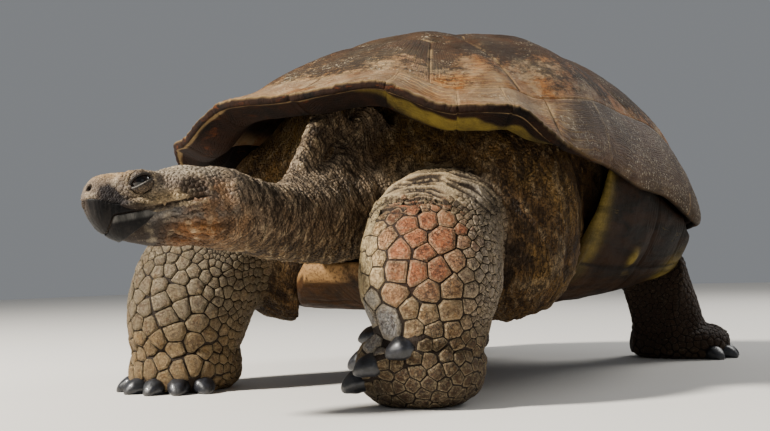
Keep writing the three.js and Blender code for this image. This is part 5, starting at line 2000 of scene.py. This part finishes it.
def make_scales(name, roots, spacing, unwrap, sides, thickness, gap, material, seed):
    """Solid plates on the skin, joined into one mesh."""
    rng = np.random.default_rng(seed)
    _, normals = skin_under(roots)
    smooth_normals = unit(normals + 1.5 * facing(roots))
    first, second, angles, reach = outlines(roots, spacing, smooth_normals, sides, gap)
    count = len(roots)
    chance = rng.random(count)
    directions = first[:, None] * np.cos(angles)[..., None] + second[:, None] * np.sin(angles)[..., None]
    base, _ = skin_under(roots[:, None] + directions * reach[..., None])
    lift = smooth_normals[:, None]
    high = (thickness * spacing * (0.75 + 0.5 * chance))[:, None, None]
    tilt = (rng.random((count, sides)) - 0.5)[..., None] * 0.18
    rings = [base - lift * 0.8]
    inwards = roots[:, None] - base
    if sides > 6:
        rings.append(base + inwards * 0.05 + lift * high * (0.8 + tilt))
        middle, _ = skin_under(roots[:, None] + directions * reach[..., None] * 0.6)
        rings.append(middle + lift * high * (1.0 + tilt))
    else:
        rings.append(base + inwards * 0.3 + lift * high * (0.8 + tilt))
    top = roots + smooth_normals * high[:, 0] * 1.08
    bottom = base.mean(1) - smooth_normals * 1.6
    sheets = [np.stack(rings, axis=1).reshape(count, -1, 3), top[:, None], bottom[:, None]]
    points = np.concatenate(sheets, axis=1)
    points[..., 2] = np.maximum(points[..., 2], 0.3)
    size = points.shape[1]

    weights = regions(roots)
    tones = markings(roots, weights) * (0.85 + 0.3 * chance)[:, None]
    rim = np.concatenate([np.repeat((1, 0.72, 0.35)[: len(rings)], sides), [0, 1]])
    attributes = {
        "tone": np.repeat(tones[:, None], size, axis=1).reshape(-1, 3),
        "rim": np.tile(rim, count),
        "relief": np.repeat(folds(roots, weights, 0.2), size),
    }
    attributes |= {key: np.repeat(values, size) for key, values in wrinkled(weights).items()}
    attributes["chance"] = np.repeat(chance, size)
    faces = scale_faces(count, sides, len(rings))
    piece = make_mesh(name, to_metres(points.reshape(-1, 3)), faces, attributes)

    corners = np.zeros(len(piece.data.loops), np.int32)
    piece.data.loops.foreach_get("vertex_index", corners)
    places = scale_map(roots, unwrap, angles, len(rings)).reshape(-1, 2)[corners]
    uv = piece.data.uv_layers.new(name="OFBake")
    uv.data.foreach_set("uv", places.astype(np.float32).reshape(-1))
    finish_piece(piece, material, [])
    print(name, "has", count, "scales")


# %% [markdown]
# ## The finish of the scales
# A scale is dull horn with a rubbed middle and a paler or darker edge, and painted shade darkens
# the foot of its wall. Old scales are cracked.
# The cracks are the borders of small cells.

# %% Scale materials
def scale_finish(name, edge_tone, edge_share, crack_scale, crack_share):
    horn = Finish(name)
    base, rim, chance = horn.attribute("tone", output=0), horn.attribute("rim"), horn.attribute("chance")
    grain = horn.noise(260, 5, 0.7)
    stain = horn.noise(45, 5, 0.65, 0.4)
    sway = horn.node("ShaderNodeTexNoise", None, {"Vector": horn.place, "Scale": 140, "Detail": 4}, 1)
    moved = {0: sway, 1: (0.012, 0.012, 0.012), 2: horn.place}
    wobble = horn.node("ShaderNodeVectorMath", {"operation": "MULTIPLY_ADD"}, moved)
    cracks = horn.cells(crack_scale, "DISTANCE_TO_EDGE", place=wobble)
    open_cracks = cracks.rise(0.07, 0.0) * (horn.noise(30, 4) + chance * 0.3).rise(0.5, 0.72)
    ragged = horn.noise(170, 5, 0.75).off_middle().rise(0.018, 0.0)
    mottle = horn.noise(110, 5, 0.75, 0.3)
    colour = horn.layers(
        horn.mix(stain.rise(0.45, 0.68) * 0.55, base, shade("a8926c"), "SOFT_LIGHT"),
        (mottle.rise(0.5, 0.62) * 0.3, edge_tone),
        (mottle.rise(0.5, 0.4) * 0.55, "4b3222"),
        ((stain + chance * 0.3).rise(0.56, 0.4) * 0.35, "4a3826"),
        ((rim + grain * 0.5).rise(0.6, 1.0) * edge_share, edge_tone),
        (open_cracks * crack_share, "241811"),
        (ragged * 0.6, "2a1b12"),
        (grain.rise(0.55, 0.75) * 0.3, "d6c8ab"),
        # The foot of each scale's wall is painted dark as shade.
        (rim.rise(0.84, 0.98) * 0.85, "150e0a"),
    )
    rings = (rim * 26 + grain * 2).math("SINE") * 0.12
    height = grain * 0.6 + rings - open_cracks * 0.8 - ragged * 0.5
    rough = 0.52 + grain * 0.22
    return horn.finished(colour, rough, horn.bump(height + mottle * 0.8, 0.0022), Specular_IOR_Level=0.22)


fore_scale = scale_finish("fore_scales", "b8a582", 0.34, 150, 0.8)
far_scale = scale_finish("right_fore_scales", "87795b", 0.3, 170, 0.35)
hind_scale = scale_finish("hind_scales", "514030", 0.35, 190, 0.3)
pebble_scale = hide_finish("pebble_scales", on_scales=True)

# %% Scales of the legs
def round_and_along(up, side, along):
    """A place on a coat's map, from the turn round its middle and the share along it."""
    return np.stack([np.arctan2(up, side) / (2 * math.pi) + 0.5, along], axis=-1)


def limb_unwrap(limb):
    def unwrap(points):
        share, side, up, _ = limb.place(points.astype(np.float32))
        return round_and_along(up, side, share)

    return unwrap


def away_from_claws(points, name):
    clear = np.full(len(points), True)
    for at, _, _ in CLAWS[name]:
        clear &= np.linalg.norm(points - at, axis=-1) > 27
    return clear & (points[:, 2] > 2.5)


def fore_spacing(points):
    _, y, z = points.T
    outer = smooth(across_leg(points, FORE_MIDDLE), 30, 70)
    foot = smooth(140 - z, 0, 40)
    spacing = 16 + 10 * near(points, (250, -590, 215), 130) - 8.5 * outer
    spacing += foot * (1 + 5 * outer)
    spacing += 8 * (1 - 0.6 * foot) * noise(points / 26, 130)
    spacing += 18 * near(points, WRIST_PLATE, 50)
    spacing = spacing + (8 - spacing) * np.maximum(smooth(z, 290, 320), smooth(y, -440, -390))
    clear = away_from_claws(points, "front_left") & (z + 8 * noise(points / 20, 132) < 322)
    return np.where(clear, np.maximum(spacing, 6.5), -1)


def far_spacing(points):
    _, y, z = points.T
    outer = smooth(across_leg(points, FAR_MIDDLE), 30, 75)
    spacing = 25 - 11 * outer - 12 * smooth(z, 200, 270) + 5 * noise(points / 35, 131)
    spacing = spacing + (12 - spacing) * smooth(y, -430, -380)
    return np.where(away_from_claws(points, "front_right"), spacing, -1)


def hind_spacing(name):
    def spacing_of(points):
        spacing = 10 + 4 * smooth(60 - points[:, 2], 0, 40) + 1.5 * noise(points / 30, 133)
        return np.where(away_from_claws(points, name), spacing, -1)

    return spacing_of


# For each leg: spacing, least spacing, sides of a scale, thickness, gap and finish.
LEG_COATS = {
    "front_left": (fore_spacing, 6.5, 12, 0.085, 0.4, fore_scale),
    "front_right": (far_spacing, 11, 12, 0.13, 0.4, far_scale),
    "hind_left": (hind_spacing("hind_left"), 8.5, 9, 0.17, 0.6, hind_scale),
    "hind_right": (hind_spacing("hind_right"), 8.5, 9, 0.17, 0.6, hind_scale),
}
for n, (name, (spacing_of, closest, sides, thickness, gap, finish)) in enumerate(LEG_COATS.items()):
    share, _, _, _ = LEGS[name].place(final_points.astype(np.float32))
    on_leg = final_weights[name] * (share > 0.16)
    roots, spacing = spread_roots(on_leg, spacing_of, closest, 300 + n)
    steep = thickness * (1 + 1.2 * (name == "front_left") * (1 - smooth(spacing, 9, 14)))
    unwrap = limb_unwrap(LEGS[name])
    make_scales(f"scales_{name}", roots, spacing, unwrap, sides, steep, gap, finish, 310 + n)

# %% [markdown]
# ## Gravel of small scales
# The head, neck, straps, chest, hips and tail carry low, rounded scales, from four to nine
# millimetres across. They sit close on the wrinkled skin, so folds still show through them.

# %% Small scales
EYE_CENTRES = [in_head(EYE[0], side * EYE[1], EYE[2]) for side in (1, -1)]


def head_spacing(points):
    share, side, height = head_place(points)
    out = np.abs(side)
    eye = np.min([np.linalg.norm(points - centre, axis=-1) for centre in EYE_CENTRES], axis=0)
    spacing = 4.6 + 1.4 * smooth(share, 0.45, 0.62) * smooth(height, -8, 12) + 0.8 * noise(points / 14, 122)
    spacing += 2.4 * smooth(share, 0.42, 0.5) * (1 - smooth(share, 0.75, 0.85)) * smooth(-height, 8, 20)
    spacing = spacing + (4.2 - spacing) * (1 - smooth(eye, 20, 30))
    lip = np.abs(height - mouth_height(share))
    beak = (share < 0.47) & (height < 9 - 4 * smooth(share, 0.07, 0.2))
    jaw_band = (share < 0.56) & (height < mouth_height(share)) & (height > -34)
    nostril = off_nostril(share, out, height)
    mouth = (lip < 2.6) & (share > 0.35) & (share < 0.8) & (out > 20)
    dark = (share < 0.26) & (share > 0.1) & (height < DARK_TOP(share))
    crown = (share + 0.04 * noise(points / 12, 123) < 0.26) & (height > 20)
    bare = beak | jaw_band | mouth | dark | crown | (eye < 18.5) | (nostril < 9) | (share < 0.05)
    return np.where(bare, -1, spacing)


def neck_spacing(points):
    return 4.6 + 0.8 * noise(points / 40, 120)


def chest_spacing(points):
    return 5.8 + 1.0 * noise(points / 50, 121)


def head_unwrap(points):
    share, side, height = head_place(points)
    return round_and_along(height, side, np.clip(share / 1.2, 0, 1))


def chest_unwrap(points):
    x, y, z = points.T
    return round_and_along(x, -(y + 60), np.clip(z / 620, 0, 1))


seen_chest = final_weights["body"] * (final_points[:, 1] < -255) * (final_points[:, 2] < 462)
seen_hips = final_weights["body"] * (final_points[:, 1] > 318) * (final_points[:, 2] < 330)
throat_and_straps = final_weights["neck"] + final_weights["strap"]
# For each coat: where it lies, its spacing, least spacing, map, thickness and gap.
SMALL_SCALES = {
    "scales_head": (final_weights["head"], head_spacing, 3.9, head_unwrap, 0.17, 0.15),
    "scales_neck": (throat_and_straps, neck_spacing, 4.4, limb_unwrap(NECK), 0.12, 0.1),
    "scales_chest": (seen_chest, chest_spacing, 5.6, chest_unwrap, 0.1, 0.1),
    "scales_hips": (seen_hips + final_weights["tail"], chest_spacing, 5.6, chest_unwrap, 0.1, 0.1),
}
SMALL_SIDES = 6
for n, (name, (weight, spacing_of, closest, unwrap, thickness, gap)) in enumerate(SMALL_SCALES.items()):
    roots, spacing = spread_roots(weight, spacing_of, closest, 400 + n)
    make_scales(name, roots, spacing, unwrap, SMALL_SIDES, thickness, gap, pebble_scale, 410 + n)

# %% [markdown]
# ## Eyes and lids
# The eyeball is a glossy dark ball, set so deep that only a slit of it shows. Two lids of
# thick skin slide over it. Each lid is a band on a slightly larger ball, from the dark rim of
# the slit to where it dives under the skin of the brow or cheek. The lower one has pale beads.

# %% Eye materials
eye_finish = Finish("eye")
iris = eye_finish.attribute("turn")
iris_colour = eye_finish.layers(
    eye_finish.two_tone(iris.rise(0.36, 0.42), "040303", "170e08"),
    (iris.rise(0.75, 0.95), "120c08"),
)
eye_material = eye_finish.finished(iris_colour, 0.12, Specular_IOR_Level=0.35)

lid_finish = Finish("eyelid")
lid_edge, lid_grain = lid_finish.attribute("edge"), lid_finish.noise(420, 4, 0.7)
lid_cells = lid_finish.cells(360)
lid_beads = lid_finish.attribute("lower") * lid_grain.rise(0.3, 0.6)
lid_colour = lid_finish.layers(
    lid_finish.two_tone(lid_grain.rise(0.4, 0.7), "1c1713", "40362b"),
    (lid_edge.rise(0.1, 0.32), lid_finish.two_tone(lid_grain.rise(0.4, 0.7), "43372b", "7d6b54")),
    (lid_cells.rise(0.3, 0.65) * 0.6, "1f1711"),
    (lid_edge.rise(0.15, 0.04) * lid_beads * 0.4, "8f8a82"),
    (lid_edge.rise(0.035, 0.0), "15110e"),
)
lid_normal = lid_finish.bump(lid_grain * 0.5 - lid_cells * 0.8, 0.0014)
lid_material = lid_finish.finished(lid_colour, 0.55, lid_normal, Specular_IOR_Level=0.25)

# %% Eyes and lids
LID_THICK, SLIT_TILT, LID_REACH, LID_END = 2.6, 24, 80, 86
UPPER_OPENING, LOWER_OPENING = 21, 19
EYE_OUT = (0.94, -0.28, 0.18)


def eye_frame(side):
    """Middle of the eye, its outward axis, the line of its slit and the direction over it."""
    out = unit(np.array([side * EYE_OUT[0], *EYE_OUT[1:]]))
    tilt = SLIT_TILT * DEGREE
    along = unit(np.array([side * 0.1, math.cos(tilt), math.sin(tilt)]))
    along = unit(along - out * (along @ out))
    over = np.cross(out, along) * side
    return in_head(EYE[0], side * EYE[1], EYE[2]), *(HEAD_TURN @ axis for axis in (out, along, over))


def closed_grid(rows):
    """Quads over a grid of points whose rows each close into a ring, with the ends capped."""
    count, around = rows.shape[:2]
    points = rows.reshape(-1, 3)
    faces = turned_out(points, ring_faces(count, around))
    flipped = faces[0, 0] != 0
    ends = [list(range(around))[::-1], list(range((count - 1) * around, count * around))]
    if flipped:
        ends = [end[::-1] for end in ends]
    return points, faces.tolist() + ends


def make_eye(name, side):
    centre, out, along, over = eye_frame(side)
    polar = np.linspace(0.02, math.pi - 0.02, 28)[:, None]
    turn = np.linspace(0, 2 * math.pi, 40, endpoint=False)[None]
    ball = (
        out * np.cos(polar)[..., None] * np.ones_like(turn)[..., None]
        + along * (np.sin(polar) * np.cos(turn))[..., None]
        + over * (np.sin(polar) * np.sin(turn))[..., None]
    )
    bulge = 1 + 0.05 * bell(polar / 0.5) * np.ones_like(turn)
    points, faces = closed_grid(centre + (EYE_RADIUS - 0.5) * ball * bulge[..., None])
    eye = make_mesh(name, to_metres(points), faces, {"turn": (polar * np.ones_like(turn)).reshape(-1)})
    finish_piece(eye, eye_material, [f"eye_{'left' if side > 0 else 'right'}"])


def make_lid(name, side, above):
    centre, out, along, over = eye_frame(side)
    around = np.linspace(-1, 1, 45)
    azimuth = around * LID_REACH * DEGREE
    opening = UPPER_OPENING if above > 0 else LOWER_OPENING
    slit = opening * DEGREE * np.maximum(1 - (np.abs(around) / 0.86) ** 2.2, 0) ** 0.8
    down = np.linspace(0, 1, 26) ** 1.3
    rows, edges = [], []
    for layer in (1, 0):
        for share in down if layer else down[::-1]:
            rise = slit + share * (LID_END * DEGREE - slit)
            heading = (
                (np.cos(rise) * np.cos(azimuth))[:, None] * out
                + (np.cos(rise) * np.sin(azimuth))[:, None] * along
                + (above * np.sin(rise))[:, None] * over
            )
            pleats = 0.42 * np.cos(share * 34 + 1.2 * np.sin(around * 3)) * smooth(share, 0.08, 0.2)
            thick = LID_THICK * smooth(share, -0.02, 0.07) * (1 - smooth(share, 0.72, 1) * 1.6)
            side_dip = 2.5 * smooth(np.abs(around), 0.86, 1)
            radius = EYE_RADIUS + 0.25 + layer * (thick + pleats - side_dip)
            if not layer:
                radius = radius - 0.2 - 2 * smooth(share, 0.7, 1)
            rows.append(centre + heading * np.broadcast_to(radius, around.shape)[:, None])
            edges.append(np.full_like(around, share))
    rows = np.array(rows).transpose(1, 0, 2)
    points, faces = closed_grid(rows)
    edges = np.array(edges).T.reshape(-1)
    lower = np.full_like(edges, float(above < 0))
    lid = make_mesh(name, to_metres(points), faces, {"edge": edges, "lower": lower})
    finish_piece(lid, lid_material, [])


for side_name, side in (("left", 1), ("right", -1)):
    make_eye(f"eyeball_{side_name}", side)
    make_lid(f"upper_lid_{side_name}", side, 1)
    make_lid(f"lower_lid_{side_name}", side, -1)

# %% [markdown]
# ## The beak
# Tortoises have no teeth. The jaws are sheathed in horn with a sharp edge. Each sheath is the
# surface of the skull, a little proud of the skin, kept only inside an outline drawn on the
# side view, and its field is meshed like the skin's.

# %% The beak
beak_finish = Finish("beak_horn")
beak_streak = beak_finish.noise(60, 6, 0.7, 0.5, place=beak_finish.stretched((1, 1, 0.25)))
beak_grain = beak_finish.noise(300, 4, 0.7)
# The pale grey band along the top of the lower beak, just below the mouth, is a painted highlight.
beak_highlight_band = beak_finish.two_tone(beak_streak.rise(0.35, 0.7), "31302e", "6b6864")
beak_colour = beak_finish.layers(
    beak_finish.two_tone(beak_streak.rise(0.42, 0.72), "080708", "1e1a18"),
    (beak_grain.rise(0.55, 0.75) * 0.08, "6e655a"),
    (beak_finish.attribute("pale"), beak_highlight_band),
    (beak_finish.attribute("front") * beak_streak.rise(0.35, 0.6), "372e27"),
)
beak_rough = 0.42 + beak_grain * 0.25
beak_normal = beak_finish.bump(beak_streak * 0.8 + beak_grain * 0.4, 0.001)
beak_material = beak_finish.finished(beak_colour, beak_rough, beak_normal, Specular_IOR_Level=0.12)
BEAK_CELL = 1.5
BEAK_BAND = 20.0


def outline_distance(outline, shares, heights):
    """Distance in millimetres to a closed outline on the side view, negative inside."""
    corners = np.array(outline, float) * (HEAD_LENGTH, 1)
    x, z = shares * HEAD_LENGTH, heights
    nearest = np.full(np.broadcast(x, z).shape, 1e9)
    inside = np.zeros(nearest.shape, bool)
    for (x0, z0), (x1, z1) in zip(corners, np.roll(corners, -1, axis=0)):
        wide, high = x1 - x0, z1 - z0
        t = np.clip(((x - x0) * wide + (z - z0) * high) / (wide**2 + high**2), 0, 1)
        nearest = np.minimum(nearest, np.hypot(x - x0 - t * wide, z - z0 - t * high))
        crosses = (z0 > z) != (z1 > z)
        at = x0 + (z - z0) * wide / (high if z1 != z0 else 1)
        inside ^= crosses & (x < at)
    return np.where(inside, -nearest, nearest)


def make_beak(name, outline, node, seed):
    shares = np.arange(-8, 132, BEAK_CELL) / HEAD_LENGTH
    sides = np.arange(-60, 60 + BEAK_CELL, BEAK_CELL)
    heights = np.arange(-70, 26, BEAK_CELL)
    share, side, height = np.meshgrid(shares, sides, heights, indexing="ij")
    places = in_head(share, side, height)
    sheath = skull_distance(places, -1.2)
    core = skull_distance(places, 5.0)
    slab = outline_distance(outline, share[:, 0], height[:, 0])[:, None]
    distance = np.maximum(np.maximum(sheath, -core), slab + 1.0)
    distance = -soft_join(-distance, -sheath, 0.5)
    low = np.array([shares[0] * HEAD_LENGTH, sides[0], heights[0]])
    near_beak = np.clip(distance, -BEAK_BAND, BEAK_BAND).astype(np.float32)
    local, quads = drawn_mesh(near_beak, BEAK_BAND, BEAK_CELL, low)
    along, across, up = local.T
    places = in_head(along / HEAD_LENGTH, across, up)
    fan = np.arctan2(across, 60 - along) * 14
    streaks = creases(fan, up / 40, along / 50, seed, 2)
    away = unit(local - (62, 0, -10))
    wear = 0.5 * (streaks - 0.5) + 0.35 * layered(local / 7, 2, seed + 1)
    places = places + (away @ HEAD_TURN[:, [1, 0, 2]].T) * wear[:, None]
    quads = turned_out(places, quads)
    lip = up - mouth_height(along / HEAD_LENGTH)
    is_lower = node == "beak_lower"
    # The band just below the mouth line carries the painted highlight.
    pale = smooth(-lip, -1, 2) * (1 - smooth(-lip, 8, 13)) if is_lower else 0 * lip
    front = 1 - smooth(along / HEAD_LENGTH + noise(local / 12, seed + 5) * 0.02, 0.02, 0.06)
    beak = make_mesh(name, to_metres(places), quads, {"pale": pale, "front": front})
    finish_piece(beak, beak_material, [node])


LIPS = [(0.545, 1), (0.37, -6), (0.19, -11), (0.155, -34), (0.1, -60)]
UPPER_EDGE = [(-0.1, 16), (0.07, 16), (0.2, 6), (0.46, 4)]
LOWER_EDGE = [(0.1, -80), (0.2, -58), (0.3, -40), (0.4, -24), (0.47, -8)]
make_beak("upper_beak", [*UPPER_EDGE, *LIPS, (-0.1, -60)], "beak_upper", 500)
make_beak("lower_beak", [*LOWER_EDGE, *LIPS], "beak_lower", 510)

# %% [markdown]
# ## Claws
# The claws are blunt shovels of blue-black horn, ridged along their length, scuffed at the tip
# and set deep into the toes. Each is a ring of points swept from root to tip.

# %% Claws
claw_finish = Finish("claw_horn")
claw_tip = claw_finish.attribute("tip")
claw_streak = claw_finish.noise(90, 5, 0.7, 0.4)
claw_scuff = claw_finish.noise(240, 5, 0.8)
claw_colour = claw_finish.layers(
    claw_finish.two_tone(claw_streak.rise(0.4, 0.65), "0c0d11", "202128"),
    (claw_scuff.rise(0.56, 0.72) * 0.25, "77736c"),
    ((claw_tip + claw_scuff * 0.5).rise(1.0, 1.3) * 0.35, "5a5753"),
)
claw_rough = 0.26 + claw_scuff * 0.3
claw_normal = claw_finish.bump(claw_streak * 0.5 + claw_scuff * 0.4, 0.001)
claw_material = claw_finish.finished(claw_colour, claw_rough, claw_normal, Coat_Weight=0.25)
CLAW_AROUND, CLAW_ALONG = 28, 22


def claw_part(at, out, back, seed):
    up = unit(np.array(back, float) - out * (np.array(back) @ out))
    side = np.cross(up, out)
    along = -np.cos(np.linspace(0.06, math.pi - 0.06, CLAW_ALONG))[:, None]
    turn = np.linspace(0, 2 * math.pi, CLAW_AROUND, endpoint=False)[None]
    radius = (1 - np.abs(along) ** 2.6) ** (1 / 2.1)
    tip = np.maximum(along, 0)
    taper = 1 - 0.3 * tip
    ridges = 1 + 0.022 * np.cos(turn * 7 + 2 * np.sin(seed + turn)) + 0.03 * np.sin(along * 9 + seed)
    wide = radius * taper * ridges * CLAW_HALF_WIDTH * signed_power(np.cos(turn), 0.9)
    deep = radius * taper * ridges * CLAW_HALF_DEPTH * signed_power(np.sin(turn), 0.9)
    deep = np.where(deep < 0, deep * 0.8, deep) - CLAW_DROOP * tip**2
    rows = at + (along * CLAW_LENGTH / 2 * np.ones_like(turn))[..., None] * out
    rows = rows + wide[..., None] * side + deep[..., None] * up
    rows[..., 2] = np.maximum(rows[..., 2], 0.2)
    points, faces = closed_grid(rows)
    return points, faces, {"tip": (tip * np.ones_like(turn)).reshape(-1)}


for foot, claws in CLAWS.items():
    parts = [claw_part(at, out, back, 3.0 * i) for i, (at, out, back) in enumerate(claws)]
    piece = joined_mesh(f"claws_{foot}", parts)
    finish_piece(piece, claw_material, [f"claw_{foot}_{i + 1}" for i in range(len(claws))])

# %% [markdown]
# ## The belly plate
# The plastron is a flat shield under the belly, joined to the rim by a steep bridge on each
# side. Its horn is yellow brown with long growth lines, and its seams cross from side to side.
# The bridge is painted near black as shade, with olive gold streaks. It is a grid of points,
# closer together where the bridge turns up.

# %% The plastron's finish
belly = Finish("belly_horn")
belly_edge, belly_side, belly_pale, belly_front = map(belly.attribute, ("edge", "bridge", "pale", "front"))
belly_streak = belly.noise(22, 6, 0.7, 0.5, place=belly.stretched((1, 0.3, 1.6)))
belly_grain = belly.noise(200, 5, 0.75)
belly_patch = belly.noise(10, 5, 0.6, 0.3)
# The bridge wall is painted near black as shade, with olive gold streaks; the tan grain is mostly kept off
# it.
bridge_wall_tone_and_shade = belly.layers(
    belly.two_tone(belly_streak.rise(0.35, 0.62), "2a180a", "0a0603"),
    (belly_streak.rise(0.6, 0.7) * belly_patch.rise(0.4, 0.6) * 0.8, "6b5526"),
)
belly_yellow = belly.two_tone(belly_grain.rise(0.4, 0.65), "7c6a2c", "948041")
belly_colour = belly.layers(
    belly.two_tone(belly_streak.rise(0.38, 0.66), "3d2611", "180e05"),
    (belly_grain.rise(0.5, 0.62) * belly_patch.rise(0.4, 0.55), "1c120b"),
    (belly_side, bridge_wall_tone_and_shade),
    (belly_pale * belly_streak.rise(0.85, 0.35), belly_yellow),
    (belly_front * belly_grain.rise(0.3, 0.55) * belly_patch.rise(0.62, 0.42), "8c6b44"),
    (belly_grain.rise(0.56, 0.74) * (0.35 - belly_side * 0.3), "a98d62"),
    (belly_edge.rise(3.2, 0.6) * 0.85, "150e09"),
)
belly_rings = (belly.attribute("ring") + belly_streak * 0.8).math("FRACT").rise(0.0, 0.8)
belly_height = belly_rings * 0.5 + belly_streak * 0.5 + belly_grain * 0.4
belly_normal = belly.bump(belly_height, 0.002)
belly_material = belly.finished(belly_colour, 0.5 + belly_grain * 0.25, belly_normal, Specular_IOR_Level=0.1)

# %% The plastron
CROSS_LINES = (-385, -292, -206, 96, 262)
BRIDGE_LINE = 352
BRIDGE_KNOB = (366, 15, 224)
PLASTRON_STEP = 5.5


def make_plastron():
    reach = np.linspace(0, PLASTRON_WIDEST, 2000)
    run = np.r_[0, np.cumsum(np.hypot(np.diff(reach), np.diff(bridge_profile(reach))))]
    columns = int(run[-1] / PLASTRON_STEP)
    half_share = np.interp(np.linspace(0, run[-1], columns), run, reach) / PLASTRON_WIDEST
    share = np.r_[-half_share[::-1], half_share[1:]][None]
    rows = int((PLASTRON_BACK - PLASTRON_FRONT) / PLASTRON_STEP)
    y = np.linspace(PLASTRON_FRONT, PLASTRON_BACK, rows)[:, None]
    x = share * plastron_half(y)
    y = y + 0 * x
    away = np.abs(x)
    slope = bridge_slope(y, away)
    normal = unit(np.stack([-np.sign(x) * slope, 0 * x, 1 + 0 * x], axis=-1))
    base = np.stack([x, y, plastron_bottom(x, y)], axis=-1)
    sway = 5 * noise(base / 60, 600)
    bent = sway * (1 - np.abs(share))
    lines = [np.abs(y - line - bent + 18 * (away / 300) ** 2) for line in CROSS_LINES]
    lines.append(np.where(y > -440, away + 0.4 * np.abs(sway), 99))
    lines.append(np.where((y > -200) & (y < 330), np.abs(away - BRIDGE_LINE - 0.6 * sway), 99))
    edge = np.min(lines, axis=0)
    ring = edge / 11 + 0.3 * noise(base / 30, 601)
    height = 0.7 * (ring_ridge(ring) - 0.5)
    height = height + 1.8 * layered(base / 60, 2, 602) + 0.4 * layered(base / 9, 2, 603)
    knob = bell(np.linalg.norm(base - BRIDGE_KNOB, axis=-1) / 15)
    rear_bulge = np.exp(-(((y - 285) / 55) ** 2) - ((base[..., 2] - 196) / 30) ** 2)
    rear_bulge = rear_bulge * smooth(away, 285, 325)
    height += 6 * knob + 5 * rear_bulge - 2.6 * (1 - smooth(edge, 0, 5))
    outline = np.minimum(np.minimum(y - PLASTRON_FRONT, PLASTRON_BACK - y), (1 - np.abs(share)) * 300)
    lip = 1 - np.sqrt(np.clip(1 - (1 - np.clip(outline / 22, 0, 1)) ** 2, 0, 1))
    taper = 0.36 * plastron_thickness(y) * lip
    outer = base - normal * (height - taper)[..., None]
    inner = base + normal * (plastron_thickness(y) - taper)[..., None]
    bridge = smooth(away, 310, 385)
    front_edge = bell((y + 185) / 26) * bridge
    pale = np.clip(0.6 * front_edge + 1.3 * rear_bulge + 1.8 * knob, 0, 1)
    gular = smooth(-y, 385, 425)
    rows, width = x.shape
    points = np.concatenate([outer.reshape(-1, 3), inner.reshape(-1, 3)])
    index = np.arange(rows * width).reshape(rows, width)
    a, b, c, d = index[:-1, :-1], index[:-1, 1:], index[1:, 1:], index[1:, :-1]
    under = np.stack([a, b, c, d], axis=-1).reshape(-1, 4)
    over = under[:, ::-1] + rows * width
    border = np.r_[index[0, :-1], index[:-1, -1], index[-1, :0:-1], index[:0:-1, 0]]
    after = np.roll(border, -1)
    wall = np.stack([border, border + rows * width, after + rows * width, after], axis=-1)
    faces = turned_out(points, np.concatenate([under, over, wall]))

    def on_faces(below, above):
        return np.concatenate([(values + 0 * x).reshape(-1) for values in (below, above)])

    same = {"edge": edge, "ring": ring, "bridge": bridge, "pale": pale}
    attributes = {key: on_faces(values, values) for key, values in same.items()}
    attributes["front"] = on_faces(gular * smooth(-y, 440, 447), gular)
    piece = make_mesh("belly_plate", to_metres(points), faces, attributes)
    finish_piece(piece, belly_material, ["plastron"])


make_plastron()
